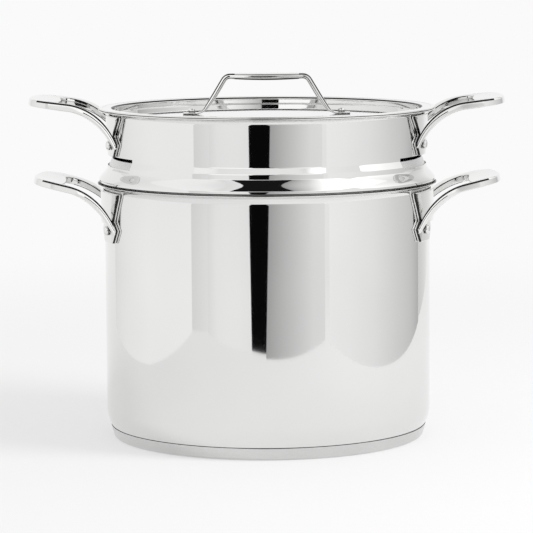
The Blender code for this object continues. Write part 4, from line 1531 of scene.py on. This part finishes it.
@dataclass
class Studio:
    """Pale floor, light tent, lamp and camera."""

    white: float = 0.955
    matt_white: float = 0.92
    fill: float = 0.74
    floor_half: float = 60.0
    floor_fade: Pair = (0.35, 1.4)
    camera_distance: float = 2.3675
    camera_height: float = 0.4204
    camera_pitch: float = 6.798
    camera_roll: float = -0.346
    camera_azimuth: float = 0.5
    lens: float = 196.0
    sensor: float = 36.0
    shift: float = -0.00206
    sight: float = 200.0
    ceiling: float = 0.75
    split: float = 0.27
    side_split: float = 0.35
    lintel_low: float = 0.45
    backing: float = 0.03
    lamp_place: Triple = (1.45, -0.60, 1.30)
    lamp_aim: Triple = (0.0, 0.0, 0.1)
    lamp_size: float = 0.9
    lamp_power: float = 20.0

    def cards(self) -> list[Card]:
        """The sides of the tent and its roof, with the dark gap that the camera looks through.

        Returns:
            The cards in the order in which they are added.
        """
        h, m, side = self.ceiling, self.split, self.side_split
        wall, foot, head, roof, sky = (0, h), (0, m), (m, h), (h, h), (h + self.backing,) * 2
        rows = [
            ("card_left", ((-0.636, -0.54), (-0.560, -0.08)), wall, (1.02, 1.02)),
            ("card_left_far", ((-0.560, -0.08), (-0.606, 0.45)), wall, (1.02, 0.95, 0.86)),
            ("card_corner", ((-0.65, -0.54), (-0.515, -0.67)), wall, (0.80, 0.90)),
            ("card_front_left", ((-0.515, -0.651), (-0.120, -0.708), (-0.148, -0.708), (-0.515, -0.651)),
             foot, (0.86, 0.95, 0.97, 0.97, 0.94)),
            ("front_left_top", ((-0.515, -0.651), (-0.122, -0.708), (-0.080, -0.708), (-0.515, -0.651)),
             head, (1.25, 1.25)),
            ("lintel", ((-0.150, -0.711), (0.120, -0.683), (0.160, -0.680), (-0.120, -0.711)),
             (self.lintel_low, h), (0.93, 0.93)),
            ("card_front_right", ((-0.008, -0.672), (0.474, -0.620), (0.474, -0.620), (0.038, -0.672)),
             foot, (0.42, 0.58, 0.72, 0.85, 0.88)),
            ("front_right_top", ((0.047, -0.672), (0.474, -0.620), (0.474, -0.620), (0.124, -0.672)),
             head, (0.55, 0.80, 1.0, 1.15, 1.2)),
            ("card_right", ((0.490, -0.577), (0.530, -0.184)), wall, (1.02, 0.99, 0.92)),
            ("card_right_far", ((0.530, -0.184), (0.640, 0.446)), wall, (0.92, 0.77, 0.66, 0.50)),
            ("right_top", ((0.529, -0.184), (0.636, 0.446)), (side, h), (1.5, 1.2, 1.0, 0.8)),
            ("card_right_back", ((0.660, 0.47), (0.620, 1.1)), wall, (0.72, 0.82, 0.96)),
            ("room", ((-0.20, -0.722), (0.20, -0.682)), wall, (0.003, 0.003)),
            ("roof_front", ((-0.64, -0.71), (0.64, -0.71), (0.64, -0.58), (-0.64, -0.535)),
             roof, (0.97, 0.97)),
            ("roof_left", ((-0.64, -0.58), (-0.310, -0.58), (-0.0135, -0.054), (-0.64, -0.054)),
             roof, (1.08, 1.08, 1.05, 0.90, 0.95)),
            ("roof_right", ((0.227, -0.58), (0.66, -0.58), (0.66, -0.054), (-0.0135, -0.054)),
             roof, (0.36, 0.80, 1.5, 1.6, 1.6, 1.6)),
            ("roof_left_back", ((-0.64, 0.8), (-0.64, -0.054), (-0.30, -0.054), (-0.30, 0.8)),
             roof, (0.84, 1.0, 1.08)),
            ("roof_right_back", ((0.78, 0.8), (0.78, -0.054), (0.30, -0.054), (0.30, 0.8)),
             roof, (0.70, 0.95, 1.5)),
            ("roof_back", ((0.30, 0.9), (0.30, 0.25), (-0.30, 0.25), (-0.30, 0.9)),
             roof, (0.95, 0.95)),
            ("roof_middle", ((0.30, 0.25), (0.30, -0.054), (-0.30, -0.054), (-0.30, 0.25)),
             roof, (0.40, 0.40)),
            ("room_above", ((-0.66, -0.75), (0.80, -0.75), (0.80, 0.9), (-0.66, 0.9)),
             sky, (0.01, 0.01)),
        ]
        return [Card(*row) for row in rows]

    def seen(self, tree: Tree) -> Wire:
        """1 on rays from the camera or from a shiny or clear surface, or else 0.

        Args:
            tree: Tree that takes the nodes.

        Returns:
            The wire of that value.
        """
        kinds = ("Camera", "Glossy", "Transmission")
        rays = [tree.node("LightPath", {}, {}, f"Is {kind} Ray") for kind in kinds]
        return rays[0].largest(rays[1]).largest(rays[2])

    def floor(self) -> None:
        """Wide floor, part white glow and part matt, so that it keeps soft shadows."""
        half = self.floor_half
        mesh = quad("floor", [(-half, -half, 0), (half, -half, 0), (half, half, 0), (-half, half, 0)])
        obj = placed("floor", mesh)
        material = bpy.data.materials.new("pale_floor")
        tree = Tree(material)
        matt = tree.node("BsdfDiffuse", {}, {"Color": (*(self.matt_white,) * 3, 1)})
        glow = tree.node("Emission", {}, {"Color": (1, 1, 1, 1), "Strength": self.white})
        x, y, _ = tree.axes(tree.place())
        share = self.seen(tree) * (0.5 + 0.5 * ((x * x + y * y) ** 0.5).ramp(*self.floor_fade))
        tree.finish(tree.node("MixShader", {}, {0: share, 1: matt, 2: glow}))
        mesh.materials.append(material)

    def sky(self) -> None:
        """White surroundings, a little dimmer as a light than as what is seen."""
        world = bpy.data.worlds.new("studio")
        bpy.context.scene.world = world
        tree = Tree(world)
        strength = blend(self.fill, self.white, self.seen(tree))
        tree.finish(tree.node("Background", {}, {"Strength": strength, "Color": (1, 1, 1, 1)}))

    def lamp(self) -> None:
        """Soft lamp from the right and in front."""
        data = bpy.data.lights.new("soft_lamp", "AREA")
        data.shape = "DISK"
        data.size = self.lamp_size
        data.energy = self.lamp_power
        obj = placed("soft_lamp", data)
        place = Vector(self.lamp_place)
        obj.location = place
        obj.rotation_euler = (place - Vector(self.lamp_aim)).to_track_quat("Z", "Y").to_euler()
        obj.visible_glossy = False

    def camera(self) -> None:
        """Camera at the photograph's viewing angle, with its small roll and shift."""
        data = bpy.data.cameras.new("camera")
        data.lens = self.lens
        data.sensor_width = self.sensor
        data.shift_x = self.shift
        data.clip_end = self.sight
        obj = placed("camera", data)
        place = Matrix.Translation((0, -self.camera_distance, self.camera_height))
        pitch = Matrix.Rotation(math.radians(90 - self.camera_pitch), 4, "X")
        roll = Matrix.Rotation(math.radians(self.camera_roll), 4, "Z")
        obj.matrix_world = Matrix.Rotation(math.radians(self.camera_azimuth), 4, "Z") @ place @ pitch @ roll
        bpy.context.scene.camera = obj

    def build(self) -> None:
        """Adds all of the studio."""
        self.floor()
        self.sky()
        self.lamp()
        for card in self.cards():
            card.build()
        self.camera()
        bpy.context.scene.view_settings.view_transform = "Standard"


def main() -> None:
    """Builds each sub-assembly in order."""
    logging.basicConfig(level=logging.INFO, format="%(name)s %(message)s")
    shop = Workshop()
    pot = Pot(shop)
    pot.build()
    LoopHandle(shop, POT_LOOP, pot, pot.height, Body.POT).build()
    collar = Collar(shop, pot)
    collar.build()
    Basket(shop, collar).build()
    LoopHandle(shop, INSERT_LOOP, collar, collar.rim_z, Body.INSERT).build()
    Lid(shop, collar).build()
    Studio().build()


if __name__ == "__main__":
    main()
